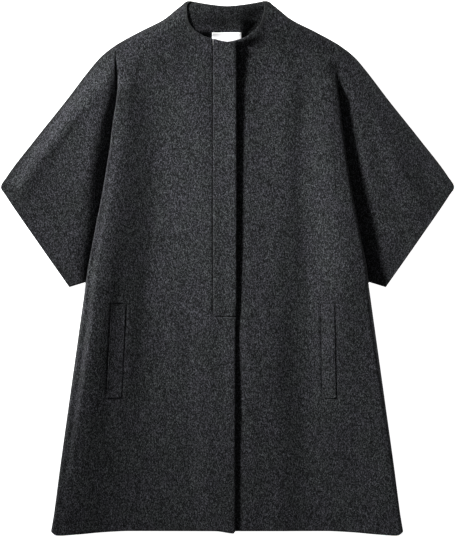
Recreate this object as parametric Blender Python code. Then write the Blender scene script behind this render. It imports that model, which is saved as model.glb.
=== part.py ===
"""Wool cape coat, laid flat on its back.

Metres, +Z up. The coat lies on the plane z = 0 with its collar towards +Y and its wearer's left
sleeve towards +X. The origin is at the bottom centre of its box. Every panel is one sheet of thick
cloth: a middle surface worked out row by row from the tables below, with a wall put round it.

"up" is a height above the lowest point of the hem, "half" is a distance from the centre line, and
"across" is a distance towards +X. Rows of a table run from the collar down. A sheet is a grid:
its rows run across the coat, and its columns are counted from the centre or the free edge outwards.
"""

import math
from collections import namedtuple

import bmesh
import bpy
from mathutils import Vector

# ---- Cloth ----
CLOTH = 0.0026  # thickness of the double-faced wool
PLACKET_WALL = 0.0036  # the placket is folded cloth, pressed
PLACKET_PROUD = 0.0004  # how far its middle stands above the front's
WELT_WALL = 0.0026
LABEL_WALL = 0.0008
SEAM_GAP = 0.0003

# ---- Lengths of the coat ----
COAT_LENGTH = 1.0265
COLLAR_TOP = 1.0255
COLLAR_BEND_UP = 1.0165  # the collar's top corner rounds off above this
COLLAR_CENTRE_TOP = 1.0162  # the back collar dips at its centre
COLLAR_CORNER_HALF = 0.0685
COLLAR_DIP_POWER = 1.5
COLLAR_DIP_REACH = 0.0500  # the dip has faded out this far below the top edge
NECK_SIDE_UP = 0.9696
NECK_FRONT_UP = 0.9472
NECK_VEE = 0.5  # share of a straight vee in the neck edge; the rest is a round scoop
NECK_SCOOP_POWER = 3.5
NECK_BEND_REACH = 0.1650  # rows this far below the side of the neck are straight again
SLEEVE_TOP_UP = 0.9300
PLEAT_CLOSED_UP = 0.8364
SLEEVE_TIP_UP = 0.6684
UNDERARM_UP = 0.4852
PLACKET_END_UP = 0.4201
HEM_UP = 0.0088

# ---- Underarm and side ----
CUFF_CORNER_HALF = 0.3038
CUFF_CORNER_UP = 0.4770
UNDERARM_RISE = 0.306  # the underarm seam climbs towards the body by this slope
UNDERARM_REACH = 0.1000  # the sleeve's rows are level again this far above the underarm
SIDE_FLARE = 0.1400  # how much the side runs out for each unit down
SIDE_ROLL = 0.0090  # radius, seen from above, by which the front rounds down to the back
SIDE_ROLL_REACH = 0.0800  # below the underarm, where it is the pleat's, it grows over this length

# ---- Lap of the fronts ----
UNDERLAP_EDGE = -0.0250  # the left front's free edge, hidden under the placket
PLACKET_SEAM = 0.0278
LAP_RISE = CLOTH + 0.0006  # how far the right front rides over the left one
LAP_RISE_FROM = 0.0780  # half where it starts to climb
LAP_RISE_TO = 0.0340  # half where it is up
LAP_EDGE_CURL = 0.0300
LAP_CORNER_DROP = 0.0046
LAP_CORNER_REACH = 0.0400
LAP_CORNER_RADIUS = 0.0040
HEM_CORNER_RADIUS = 0.0150
HEM_REACH = 0.1500  # rows this far above the hem no longer follow its line

# ---- Heights above the floor ----
BACK_MIDDLE = CLOTH / 2
SIDE_SEAM_GAP = 0.0008  # the side seam stays wider, because the hem's rounded corner is in it
SIDE_FOOT = CLOTH + SIDE_SEAM_GAP  # where the front's wall ends above the back
BACK_LIES_FROM = 0.8800  # the back lies on the floor below this, and is quite off it above the next
BACK_LIES_TO = 0.9200
BACK_PULL = 2.0  # power by which the back rises from its centre to the front
BACK_PULL_BELOW = 9.0  # the same below the collar
NECK_SPREAD = 0.0500  # below the sides of the neck, that rise runs out to the seam over this length
HOLLOW_RISE = 0.0400  # half at which the back's hollow is full
HOLLOW_END = 0.0300  # distance from the seam at which it starts to fade
STAND = 0.0012  # the neck edge stands up like a soft ring
STAND_LEFT = 0.0050  # and higher on the wearer's left, from one half to another
STAND_GROWS_FROM = 0.0080
STAND_GROWS_TO = 0.0300
STAND_REACH = 0.0300  # how far from the neck edge it has fallen off
NECK_EDGE_STEPS = 10  # pieces of each half of the neck edge, for distances to it
STANDING_GAP = 0.0008  # more room between the flat facets of two edges that stand upright
LEVEL_TILT = 0.0200  # a seam never stands less steeply than this, in radians, in the crown's curve

TINY = 1e-6
CUFF_STEPS = 4  # how often a sloping row's end is corrected to lie on the cuff

# ---- Outline ----
Outline = namedtuple("Outline", "up half")
SHOULDER_AND_CUFF = (
    Outline(1.0265, 0.0700),
    Outline(1.0255, 0.0752),
    Outline(1.0243, 0.0787),
    Outline(1.0227, 0.0820),
    Outline(1.0190, 0.0858),
    Outline(1.0092, 0.0983),
    Outline(0.9900, 0.1223),
    Outline(0.9669, 0.1684),
    Outline(0.9439, 0.2105),
    Outline(0.9208, 0.2413),
    Outline(0.8978, 0.2618),
    Outline(0.8364, 0.3089),
    Outline(0.7596, 0.3700),
    Outline(0.6904, 0.4228),
    Outline(0.6684, 0.4352),
    Outline(0.6550, 0.4272),
    Outline(0.5752, 0.3727),
    Outline(0.4770, 0.3038),
)
NeckSide = namedtuple("NeckSide", "up half_right half_left")
NECK_SIDE = (
    NeckSide(1.0265, 0.0690, 0.0670),
    NeckSide(1.0168, 0.0780, 0.0712),
    NeckSide(0.9965, 0.0768, 0.0680),
    NeckSide(0.9823, 0.0718, 0.0628),
    NeckSide(0.9696, 0.0628, 0.0526),
)

# seam_tilt: how steeply the cloth leaves its side seam, in degrees; side and nape: heights of the
# back's middle surface at that seam and at the centre; hollow: how much deeper it sags on the wearer's
# left; crown: height of the front's middle surface; reach: how far in from the seam it gets there
Neck = namedtuple("Neck", "up seam_tilt side nape hollow crown reach")
NECK = (
    Neck(1.0265, 22, 0.0185, 0.0205, 0.0010, 0.0236, 0.0220),
    Neck(1.0168, 22, 0.0180, 0.0188, 0.0030, 0.0262, 0.0280),
    Neck(0.9958, 22, 0.0155, 0.0140, 0.0045, 0.0262, 0.0420),
    Neck(0.9696, 20, 0.0110, 0.0046, 0.0020, 0.0235, 0.0800),
    Neck(0.9472, 14, 0.0060, 0.0022, 0.0005, 0.0205, 0.1200),
    Neck(0.9200, 5, 0.0022, 0.0013, 0.0000, 0.0165, 0.1450),
    Neck(0.8800, 0, 0.0013, 0.0013, 0.0000, 0.0120, 0.1500),
    Neck(0.8300, 0, 0.0013, 0.0013, 0.0000, 0.0078, 0.1500),
    Neck(0.7700, 0, 0.0013, 0.0013, 0.0000, 0.0050, 0.1500),
    Neck(0.7000, 0, 0.0013, 0.0013, 0.0000, 0.0042, 0.1500),
)

# ---- Folds ----
# The pleat that each front takes under its side, from the shoulder to the underarm.
# turn: how far the cloth turns at each fold, in degrees; radius: of each fold; depth: of the pleat
Pleat = namedtuple("Pleat", "up turn radius_right radius_left depth")
PLEAT = (
    Pleat(0.9247, 4, 0.0022, 0.0022, 0.0015),
    Pleat(0.9093, 25, 0.0022, 0.0022, 0.0015),
    Pleat(0.8920, 80, 0.0022, 0.0023, 0.0025),
    Pleat(0.8680, 150, 0.0023, 0.0025, 0.0060),
    Pleat(0.8364, 180, 0.0026, 0.0030, 0.0110),
    Pleat(0.7100, 180, 0.0033, 0.0045, 0.0270),
    Pleat(0.5880, 180, 0.0038, 0.0056, 0.0410),
    Pleat(0.4852, 180, 0.0041, 0.0055, 0.0500),
)
SHORTEST_FOLD = 0.0060  # length of cloth that a fold takes even where it has hardly turned
FOLD_ROOM = 0.0340  # the folds shrink where less than this is left between them and the outline
PLEAT_BEARING = 0.65  # the front lies level on this share of the pleat before it comes down

# The visible edge of the body above the underarm, which is the outer fold of the pleat.
FoldEdge = namedtuple("FoldEdge", "up half_right half_left")
FOLD_EDGE = (
    FoldEdge(0.9247, 0.2110, 0.2060),
    FoldEdge(0.8863, 0.2112, 0.2074),
    FoldEdge(0.8402, 0.2152, 0.2142),
    FoldEdge(0.7941, 0.2204, 0.2194),
    FoldEdge(0.7480, 0.2256, 0.2256),
    FoldEdge(0.7020, 0.2328, 0.2321),
    FoldEdge(0.6559, 0.2406, 0.2398),
    FoldEdge(0.6098, 0.2497, 0.2489),
    FoldEdge(0.5637, 0.2587, 0.2577),
    FoldEdge(0.5176, 0.2670, 0.2666),
    FoldEdge(0.4852, 0.2721, 0.2706),
)

# Height of the front's middle surface at its side, below the underarm.
Crest = namedtuple("Crest", "up crest_right crest_left")
SIDE_CREST = (
    Crest(0.4852, 0.0206, 0.0262),
    Crest(0.4000, 0.0160, 0.0200),
    Crest(0.3000, 0.0120, 0.0140),
    Crest(0.2000, 0.0096, 0.0106),
    Crest(0.1000, 0.0083, 0.0088),
    Crest(0.0000, 0.0076, 0.0080),
)

# run: how far in the front takes to come down from its height at the side
Ramp = namedtuple("Ramp", "up run")
RAMP = (
    Ramp(0.9247, 0.0300),
    Ramp(0.8364, 0.0600),
    Ramp(0.7100, 0.0800),
    Ramp(0.4852, 0.0850),
    Ramp(0.2000, 0.0850),
    Ramp(0.0000, 0.0700),
)

# rise: of the soft roll that a sleeve makes beside the body's edge; away: its distance from that edge
Roll = namedtuple("Roll", "up rise_right rise_left away")
SLEEVE_ROLL = (
    Roll(0.9300, 0.0010, 0.0000, 0.0120),
    Roll(0.8900, 0.0066, 0.0000, 0.0160),
    Roll(0.8364, 0.0100, 0.0000, 0.0220),
    Roll(0.7500, 0.0120, 0.0000, 0.0240),
    Roll(0.6600, 0.0110, 0.0000, 0.0200),
    Roll(0.5880, 0.0090, 0.0000, 0.0165),
    Roll(0.4852, 0.0080, 0.0000, 0.0155),
)
ROLL_TAIL = 0.1300  # length over which the roll falls off again

# Soft flutes: ridges down the cloth, from FLUTE_TOP to the hem, with their rises at the heights below
FLUTE_TOP = 0.9000
FLUTES_START = 0.9400
Flute = namedtuple("Flute", "top_across foot_across spread_top spread_foot rises")
BODY_RISES_UP = (0.85, 0.60, 0.35, 0.10)
BODY_FLUTES = (
    Flute(-0.195, -0.300, 0.030, 0.040, (0.0009, 0.0044, 0.0116, 0.0015)),
    Flute(-0.165, -0.255, 0.028, 0.040, (0.0012, 0.0010, 0.0000, 0.0000)),
    Flute(-0.135, -0.210, 0.028, 0.040, (0.0000, 0.0013, 0.0077, 0.0000)),
    Flute(-0.105, -0.165, 0.028, 0.038, (0.0030, 0.0000, 0.0000, 0.0007)),
    Flute(-0.075, -0.118, 0.028, 0.036, (0.0058, 0.0069, 0.0016, 0.0032)),
    Flute(-0.045, -0.070, 0.028, 0.034, (0.0006, 0.0075, 0.0036, 0.0083)),
    Flute(-0.012, -0.020, 0.028, 0.034, (0.0045, 0.0099, 0.0059, 0.0099)),
    Flute(0.028, 0.035, 0.028, 0.034, (0.0052, 0.0110, 0.0116, 0.0105)),
    Flute(0.058, 0.080, 0.028, 0.036, (0.0000, 0.0084, 0.0126, 0.0109)),
    Flute(0.088, 0.125, 0.028, 0.038, (0.0054, 0.0079, 0.0094, 0.0075)),
    Flute(0.118, 0.170, 0.028, 0.040, (0.0067, 0.0068, 0.0014, 0.0021)),
    Flute(0.148, 0.215, 0.028, 0.040, (0.0028, 0.0000, 0.0067, 0.0043)),
    Flute(0.178, 0.260, 0.030, 0.040, (0.0032, 0.0022, 0.0000, 0.0018)),
)
SLEEVE_RISES_UP = (0.84, 0.72, 0.60, 0.49)
SLEEVE_FLUTES = (
    Flute(-0.222, -0.370, 0.014, 0.075, (0.0000, 0.0022, 0.0000, 0.0045)),
    Flute(-0.232, -0.480, 0.014, 0.075, (0.0000, 0.0000, 0.0000, 0.0000)),
    Flute(-0.240, -0.600, 0.014, 0.075, (0.0000, 0.0000, 0.0000, 0.0000)),
    Flute(-0.248, -0.720, 0.014, 0.075, (0.0008, 0.0002, 0.0067, 0.0000)),
    Flute(-0.256, -0.850, 0.014, 0.075, (0.0080, 0.0074, 0.0080, 0.0000)),
    Flute(0.222, 0.370, 0.014, 0.075, (0.0000, 0.0024, 0.0000, 0.0060)),
    Flute(0.232, 0.480, 0.014, 0.075, (0.0047, 0.0060, 0.0001, 0.0000)),
    Flute(0.240, 0.600, 0.014, 0.075, (0.0015, 0.0060, 0.0015, 0.0000)),
    Flute(0.248, 0.720, 0.014, 0.075, (0.0000, 0.0030, 0.0000, 0.0000)),
    Flute(0.256, 0.850, 0.014, 0.075, (0.0013, 0.0000, 0.0000, 0.0000)),
)
SLEEVE_FLUTES_START = 0.9000
SIDE_FADE = 0.0150  # a body flute fades over this distance from the side
ROLL_FADE = 0.0500  # a sleeve flute fades over this distance from the body's edge
CUFF_FADE = 0.0500  # flutes and roll fade over this distance from the cuff

# lift: how far the right front's free edge stands off the left front
EdgeLift = namedtuple("EdgeLift", "up lift")
LAP_EDGE_LIFT = (
    EdgeLift(0.9472, 0.0070),
    EdgeLift(0.9000, 0.0054),
    EdgeLift(0.6000, 0.0050),
    EdgeLift(0.4800, 0.0036),
    EdgeLift(0.4300, 0.0028),
    EdgeLift(0.2600, 0.0052),
    EdgeLift(0.1200, 0.0034),
    EdgeLift(0.0000, 0.0036),
)

# past: how far the right front's free edge lies past the centre line
EdgeLine = namedtuple("EdgeLine", "up past")
LAP_EDGE = (
    EdgeLine(0.9472, 0.0184),
    EdgeLine(0.4500, 0.0182),
    EdgeLine(0.4000, 0.0152),
    EdgeLine(0.0000, 0.0148),
)

# drop: how far the hem hangs below HEM_UP
Hem = namedtuple("Hem", "half drop")
HEM = (
    Hem(0.318, 0.0088),
    Hem(0.280, 0.0060),
    Hem(0.250, 0.0032),
    Hem(0.220, 0.0012),
    Hem(0.190, 0.0000),
    Hem(0.000, 0.0000),
)

# ---- Grids ----
# rows: how many rows lie between this height and the next one
Stop = namedtuple("Stop", "up rows")
COLLAR_STOPS = (Stop(COLLAR_TOP, 5), Stop(COLLAR_BEND_UP, 5), Stop(NECK_SIDE_UP, 0))
FRONT_STOPS = (
    Stop(NECK_SIDE_UP, 3),
    Stop(SLEEVE_TOP_UP, 7),
    Stop(PLEAT_CLOSED_UP, 9),
    Stop(SLEEVE_TIP_UP, 10),
    Stop(UNDERARM_UP, 5),
    Stop(PLACKET_END_UP, 13),
    Stop(HEM_UP, 0),
)
BACK_STOPS = (
    Stop(NECK_SIDE_UP, 4),
    Stop(SLEEVE_TOP_UP, 6),
    Stop(PLEAT_CLOSED_UP, 3),
    Stop(SLEEVE_TIP_UP, 4),
    Stop(UNDERARM_UP, 1),
    Stop(PLACKET_END_UP, 5),
    Stop(HEM_UP, 0),
)

LAP_COLUMNS = 3
NECK_COLUMNS = 2
BODY_COLUMNS = 12
FOLD_COLUMNS = 5
SLEEVE_COLUMNS = 8
FIRST_BODY = LAP_COLUMNS + NECK_COLUMNS
FIRST_FOLD = FIRST_BODY + BODY_COLUMNS
FIRST_RETURN = FIRST_FOLD + FOLD_COLUMNS
FIRST_SLEEVE = FIRST_RETURN + 1 + FOLD_COLUMNS
EDGEWARD = 1.5  # power by which the collar's columns crowd towards its side seam
EDGEWARD_FROM_UP = 0.9300  # above this the body's columns start to crowd in the same way

BACK_SHARES = (0.0, 0.22, 0.42, 0.58, 0.71, 0.81, 0.88, 0.93, 0.97, 0.99, 1.0)  # of its half width
BACK_SLEEVE_COLUMNS = 4

# ---- Applied pieces: corners as (across, up), in order round the piece ----
WELT_RIGHT = ((-0.2237, 0.4437), (-0.1949, 0.4437), (-0.2035, 0.2652), (-0.2339, 0.2644))
WELT_LEFT = ((0.1789, 0.4447), (0.2068, 0.4447), (0.2102, 0.2642), (0.1824, 0.2642))
LABEL = ((-0.0298, 0.9661), (0.0259, 0.9661), (0.0259, 0.9420), (-0.0298, 0.9420))
SLIVER = 0.0006  # corners closer than this are merged where an outline cuts the grid

# ---- Finishes ----
Finish = namedtuple("Finish", "colour roughness")
WOOL = Finish((0.040, 0.042, 0.046, 1.0), 0.95)
WOOL_UNDER = Finish((0.034, 0.036, 0.040, 1.0), 0.95)
WHITE_TAPE = Finish((0.860, 0.860, 0.850, 1.0), 0.80)

CoatSide = namedtuple("CoatSide", "sign half radius crest rise side_at_hem over")
RIGHT = CoatSide(-1, "half_right", "radius_right", "crest_right", "rise_right", 0.3400, True)
LEFT = CoatSide(1, "half_left", "radius_left", "crest_left", "rise_left", 0.3385, False)


# ---- Curves ----
def smooth(table, column, at, key="up"):
    """A column of a table at any place: a cubic through its rows that never overshoots them."""
    rows = sorted(table, key=lambda row: getattr(row, key))
    xs = [getattr(row, key) for row in rows]
    ys = [getattr(row, column) for row in rows]
    if at <= xs[0]:
        return ys[0]
    if at >= xs[-1]:
        return ys[-1]
    i = max(k for k in range(len(xs) - 1) if xs[k] <= at)
    rises = [(ys[k + 1] - ys[k]) / (xs[k + 1] - xs[k]) for k in range(len(xs) - 1)]

    def slope(k):
        if k == 0 or k == len(xs) - 1:
            return rises[min(k, len(rises) - 1)]
        before, after = rises[k - 1], rises[k]
        return 2 * before * after / (before + after) if before * after > 0 else 0.0

    span = xs[i + 1] - xs[i]
    t = (at - xs[i]) / span
    return (
        (2 * t**3 - 3 * t**2 + 1) * ys[i]
        + (t**3 - 2 * t**2 + t) * span * slope(i)
        + (3 * t**2 - 2 * t**3) * ys[i + 1]
        + (t**3 - t**2) * span * slope(i + 1)
    )


def clamp(value):
    """The value, kept between 0 and 1."""
    return min(1.0, max(0.0, value))


def ease(value):
    """0 to 1, level at both ends."""
    value = clamp(value)
    return value * value * (3 - 2 * value)


def mix(first, second, share):
    """A value between two others."""
    return first + (second - first) * share


# ---- Outline of the coat ----
def row_heights(stops):
    """The heights of all rows from the first stop down to the last."""
    heights = []
    for stop, below in zip(stops, stops[1:]):
        heights += [mix(stop.up, below.up, k / stop.rows) for k in range(stop.rows)]
    return heights + [stops[-1].up]


def collar_heights():
    """The rows above the sides of the neck."""
    return row_heights(COLLAR_STOPS)[:-1]


def outline_half(up):
    """Half width of the coat, over its collar, shoulders and sleeves."""
    return smooth(SHOULDER_AND_CUFF, "half", up)


def side_half(up, side):
    """The straight side below the underarm, and the back's own line above it."""
    return side.side_at_hem - SIDE_FLARE * up


def fold_half(up, side):
    """The visible edge of the body: its side, and above the underarm the pleat's outer fold."""
    return side_half(up, side) if up < UNDERARM_UP else smooth(FOLD_EDGE, side.half, up)


def has_sleeve(nominal):
    """Whether a row reaches out into the sleeve."""
    return UNDERARM_UP - TINY <= nominal <= SLEEVE_TOP_UP + TINY


def on_shoulder(nominal):
    """Whether a row ends at the shoulder seam, above the sleeve."""
    return nominal > SLEEVE_TOP_UP + TINY


def sleeve_up(half, nominal):
    """Height of a sleeve's row, whose lowest ones slope with the underarm seam."""
    weight = ease(1 - (nominal - UNDERARM_UP) / UNDERARM_REACH)
    underarm = CUFF_CORNER_UP + UNDERARM_RISE * (CUFF_CORNER_HALF - half)
    return nominal + (underarm - UNDERARM_UP) * weight


def cuff_half(nominal):
    """Where a sleeve's row, level or sloping, meets the cuff or the overarm."""
    half = outline_half(nominal)
    for _ in range(CUFF_STEPS):
        half = outline_half(sleeve_up(half, nominal))
    return half


def corner_rise(from_edge, radius):
    """How much a rounded corner lifts a bottom edge, at a distance from the side."""
    share = clamp(1 - from_edge / radius)
    return radius * (1 - math.sqrt(1 - share * share))


def near_hem(nominal):
    """1 at the hem, fading to 0 above it."""
    return ease(1 - (nominal - HEM_UP) / HEM_REACH)


def hem_line(half, nominal, side):
    """Height of a row that follows the hem's line near it, with the hem's rounded corner."""
    up = nominal - smooth(HEM, "drop", abs(half), key="half") * near_hem(nominal)
    if nominal <= HEM_UP + TINY:
        up += corner_rise(side_half(up, side) - half, HEM_CORNER_RADIUS)
    return up


def neck_side(up, side):
    """The side of the neck opening."""
    return smooth(NECK_SIDE, side.half, up)


def neck_bend(half, nominal, side):
    """Rows below the neck edge take its shallow vee, less and less down to the chest."""
    share = clamp(abs(half) / neck_side(NECK_SIDE_UP, side))
    rise = mix(share**NECK_SCOOP_POWER, share, NECK_VEE)
    scoop = (NECK_FRONT_UP - NECK_SIDE_UP) * (1 - rise)
    return scoop * ease(1 - (NECK_SIDE_UP - nominal) / NECK_BEND_REACH)


def neck_edge(side):
    """(half, up) along the neck edge, from the collar's top down to the centre."""
    edge = []
    for k in range(NECK_EDGE_STEPS + 1):
        up = mix(COLLAR_TOP, NECK_SIDE_UP, k / NECK_EDGE_STEPS)
        edge.append((neck_side(up, side), up))
    for k in range(1, NECK_EDGE_STEPS + 1):
        half = neck_side(NECK_SIDE_UP, side) * (1 - k / NECK_EDGE_STEPS)
        edge.append((half, NECK_SIDE_UP + neck_bend(half, NECK_SIDE_UP, side)))
    return edge


def neck_distance(half, up, side):
    """How far a place lies from the neck edge, as seen from above."""
    place = Vector((abs(half), up))
    edge = [Vector(point) for point in neck_edge(side)]
    nearest = []
    for first, second in zip(edge, edge[1:]):
        along = second - first
        share = clamp((place - first).dot(along) / along.length_squared)
        nearest.append((place - first - share * along).length)
    return min(nearest)


def lap_edge(up):
    """The right front's free edge, which runs nearly straight down."""
    return -smooth(LAP_EDGE, "past", up)


def lap_corner(half, nominal):
    """The right front hangs a little lower by its free edge, with a rounded corner."""
    from_edge = half - lap_edge(0.0)
    drop = LAP_CORNER_DROP * ease(1 - from_edge / LAP_CORNER_REACH) * near_hem(nominal)
    if nominal <= HEM_UP + TINY:
        drop -= corner_rise(from_edge, LAP_CORNER_RADIUS)
    return drop


# ---- Heights of the middle surfaces ----
def seam_tilt(up):
    """How steeply the cloth stands at the side seam, in radians."""
    return math.radians(smooth(NECK, "seam_tilt", up))


def seam_half(up):
    """A sheet that stands up at its edge keeps its middle surface half a wall inside the outline."""
    return outline_half(up) - CLOTH / 2 * math.sin(seam_tilt(up))


def layer(up):
    """How far the front's middle surface lies above the back's where they lie together."""
    tilt = seam_tilt(up)
    return CLOTH / math.cos(tilt) + SEAM_GAP + STANDING_GAP * math.sin(tilt)


def front_seam_height(up):
    """The front at its seam, one wall and a seam gap above the back."""
    return smooth(NECK, "side", up) + layer(up)


def rounded_rise(share, tilt):
    """0 at the edge to 1 at the crown, leaving the edge at the given tilt and arriving level."""
    steep = max(tilt, LEVEL_TILT)
    sine = (1 - clamp(share)) * math.sin(steep)
    return (math.sqrt(1 - sine * sine) - math.cos(steep)) / (1 - math.cos(steep))


def shoulder_height(half, up):
    """A front before the pleat, the flutes and the lap."""
    reach = smooth(NECK, "reach", up)
    from_seam = outline_half(up) - abs(half) if up > SLEEVE_TIP_UP else reach
    rise = rounded_rise(from_seam / reach, seam_tilt(up))
    return mix(front_seam_height(up), smooth(NECK, "crown", up), rise)


def collar_height(half, up):
    """Like shoulder_height, measured from the inset edge so that the seam stands upright."""
    inset = outline_half(up) - seam_half(up)
    return shoulder_height(min(half + inset, outline_half(up)), up)


def neck_stand(half, up, side):
    """The soft ring along the neck edge, higher on the wearer's left."""
    grown = ease((half - STAND_GROWS_FROM) / (STAND_GROWS_TO - STAND_GROWS_FROM))
    stand = STAND if side.over else mix(STAND, STAND_LEFT, grown)
    near = 1 - clamp(neck_distance(half, up, side) / STAND_REACH)
    return stand * near**2 * ease((outline_half(up) - half) / STAND_REACH)


def rise_at(up, heights, rises):
    """A value told at falling heights, at any height between them."""
    for k in range(len(heights) - 1):
        if up >= heights[k + 1]:
            share = clamp((heights[k] - up) / (heights[k] - heights[k + 1]))
            return mix(rises[k], rises[k + 1], share)
    return rises[-1]


def flute_height(flutes, start, heights, across, up):
    """What the soft flutes add at a place."""
    height = 0.0
    share = clamp((FLUTE_TOP - up) / FLUTE_TOP)
    for flute in flutes:
        centre = mix(flute.top_across, flute.foot_across, share)
        spread = mix(flute.spread_top, flute.spread_foot, share)
        rise = rise_at(up, (start, *heights), (0.0, *flute.rises))
        height += rise * math.exp(-(((across - centre) / spread) ** 2))
    return height


def lap_height(half, up, side):
    """The right front rides over the left one, and its free edge curls off it."""
    if not side.over:
        return 0.0
    rise = LAP_RISE * ease((LAP_RISE_FROM - half) / (LAP_RISE_FROM - LAP_RISE_TO))
    from_edge = half - lap_edge(up)
    return rise + smooth(LAP_EDGE_LIFT, "lift", up) * clamp(1 - from_edge / LAP_EDGE_CURL) ** 2


def body_height(half, up, side, fold_start):
    """A front between its free edge and the top of the fold at its side."""
    fold_half, fold_height = fold_start
    bearing = PLEAT_BEARING * smooth(PLEAT, "depth", up)
    inwards = fold_half - half
    share = 1 - clamp((inwards - bearing) / smooth(RAMP, "run", up))
    height = shoulder_height(half, up) + lap_height(half, up, side)
    flutes = flute_height(BODY_FLUTES, FLUTES_START, BODY_RISES_UP, side.sign * half, up)
    height += flutes * ease(inwards / SIDE_FADE)
    return height + (fold_height - shoulder_height(fold_half, up)) * ease(share)


def sleeve_height(half, up, side, outer):
    """A sleeve, with the soft roll that it makes beside the body's edge."""
    away = smooth(SLEEVE_ROLL, "away", up)
    beyond = half - fold_half(up, side)
    roll = ease(beyond / away) * (1 - ease((beyond - away) / ROLL_TAIL))
    flutes = flute_height(SLEEVE_FLUTES, SLEEVE_FLUTES_START, SLEEVE_RISES_UP, side.sign * half, up)
    rise = flutes * ease(beyond / ROLL_FADE) + smooth(SLEEVE_ROLL, side.rise, up) * roll
    return shoulder_height(min(half, outline_half(up)), up) + rise * ease((outer - half) / CUFF_FADE)


def back_pulled(half, nominal, side):
    """How far the back has come up to the front: not at all at the centre, quite at its seam."""
    spread = ease((NECK_SIDE_UP - nominal) / NECK_SPREAD)
    opening = neck_side(nominal, side) if side.over else outline_half(nominal)
    reach = mix(opening, outline_half(nominal), spread)
    return clamp(half / reach) ** mix(BACK_PULL, BACK_PULL_BELOW, spread)


def back_height(half, nominal, side):
    """The back lies on the floor; its collar stands off it and meets the front's sides."""
    lifted = ease((nominal - BACK_LIES_FROM) / (BACK_LIES_TO - BACK_LIES_FROM))
    if lifted <= 0:
        return BACK_MIDDLE
    under = collar_height(half, nominal) - layer(nominal)
    height = mix(smooth(NECK, "nape", nominal), under, back_pulled(half, nominal, side))
    if not side.over:
        outwards = ease((outline_half(nominal) - half) / HOLLOW_END)
        height -= smooth(NECK, "hollow", nominal) * ease(half / HOLLOW_RISE) * outwards
    return mix(BACK_MIDDLE, max(BACK_MIDDLE, height), lifted)


def collar_dip(half, nominal):
    """The back collar's top edge dips at the centre."""
    share = clamp(abs(half) / COLLAR_CORNER_HALF)
    dip = (COLLAR_CENTRE_TOP - COLLAR_TOP) * (1 - share**COLLAR_DIP_POWER)
    return dip * ease(1 - (COLLAR_TOP - nominal) / COLLAR_DIP_REACH)


# ---- Sections across the folds, as (half, height) from the body outwards ----
def fold_steps(length, turn):
    """(outwards, downwards) steps of a strip of cloth that turns evenly as it goes."""
    step = length / FOLD_COLUMNS
    headings = [turn * (k + 0.5) / FOLD_COLUMNS for k in range(FOLD_COLUMNS)]
    return [(step * math.cos(heading), step * math.sin(heading)) for heading in headings]


def pleat_section(up, side):
    """The first fold, the return under the front, and the second fold, which is the sleeve's start."""
    turn = math.radians(smooth(PLEAT, "turn", up))
    edge = fold_half(up, side)
    room = clamp((outline_half(up) - edge) / FOLD_ROOM)
    depth = smooth(PLEAT, "depth", up) * room
    first_fold = fold_steps(max(smooth(PLEAT, side.radius, up) * turn, SHORTEST_FOLD) * room, turn)
    cloth_return = [(depth * math.cos(turn), depth * math.sin(turn))]
    points = [(0.0, 0.0)]
    for out, down in first_fold + cloth_return + first_fold[::-1]:
        points.append((points[-1][0] + out, points[-1][1] - down))
    outermost = max(half for half, _ in points[: FOLD_COLUMNS + 1])
    start = edge - CLOTH / 2 * room - outermost
    start_height = shoulder_height(start + points[-1][0], up) - points[-1][1]
    return [(start + half, start_height + height) for half, height in points]


def side_section(up, side):
    """Round the side below the underarm, from the crest down to the back's edge."""
    crest = smooth(SIDE_CREST, side.crest, up)
    at_underarm = smooth(PLEAT, side.radius, UNDERARM_UP)
    roll = mix(at_underarm, SIDE_ROLL, ease((UNDERARM_UP - up) / SIDE_ROLL_REACH))
    outer = side_half(up, side) - CLOTH / 2
    points = []
    for k in range(FOLD_COLUMNS + 1):
        angle = math.pi / 2 * k / FOLD_COLUMNS
        half = outer - roll * (1 - math.sin(angle))
        points.append((half, mix(SIDE_FOOT, crest, math.cos(angle))))
    return points


def outer_section(nominal, side):
    """What a front's row does at its outer end, before any sleeve."""
    if has_sleeve(nominal):
        return pleat_section(nominal, side)
    if nominal < UNDERARM_UP:
        return side_section(nominal, side)
    outer = seam_half(nominal)
    return [(outer, collar_height(outer, nominal))]


# ---- Rows of the sheets, as {column: (half, up, height)} ----
def front_rows(side):
    """Every row of a front."""
    rows = [collar_row(up, side) for up in collar_heights()]
    return rows + [front_row(nominal, side) for nominal in row_heights(FRONT_STOPS)]


def collar_row(up, side):
    """A strip from the neck edge to the side seam of the collar."""
    inner = neck_side(up, side)
    row = {}
    for k in range(BODY_COLUMNS + 1):
        half = mix(inner, seam_half(up), 1 - (1 - k / BODY_COLUMNS) ** EDGEWARD)
        row[FIRST_BODY + k] = (half, up, collar_height(half, up) + neck_stand(half, up, side))
    return row


def front_row(nominal, side):
    """A row from the front's free edge to its side, or on to the cuff."""
    section = outer_section(nominal, side)
    row = {}
    for column, half in enumerate(inner_halves(nominal, side, section[0][0])):
        up = hem_line(half, nominal, side) + neck_bend(half, nominal, side)
        if side.over:
            up -= lap_corner(half, nominal)
        if on_shoulder(nominal):
            height = collar_height(half, up) + lap_height(half, up, side)
        else:
            height = body_height(half, up, side, section[0])
        row[column] = (half, up, height + neck_stand(half, up, side))
    for k, (half, height) in enumerate(section):
        up = hem_line(half, nominal, side)
        if k > FOLD_COLUMNS:
            up = sleeve_up(section[-1][0], nominal)
        row[FIRST_FOLD + k] = (half, up, height)
    if has_sleeve(nominal):
        row.update(sleeve_columns(nominal, side, section[-1][0]))
    return row


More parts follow.
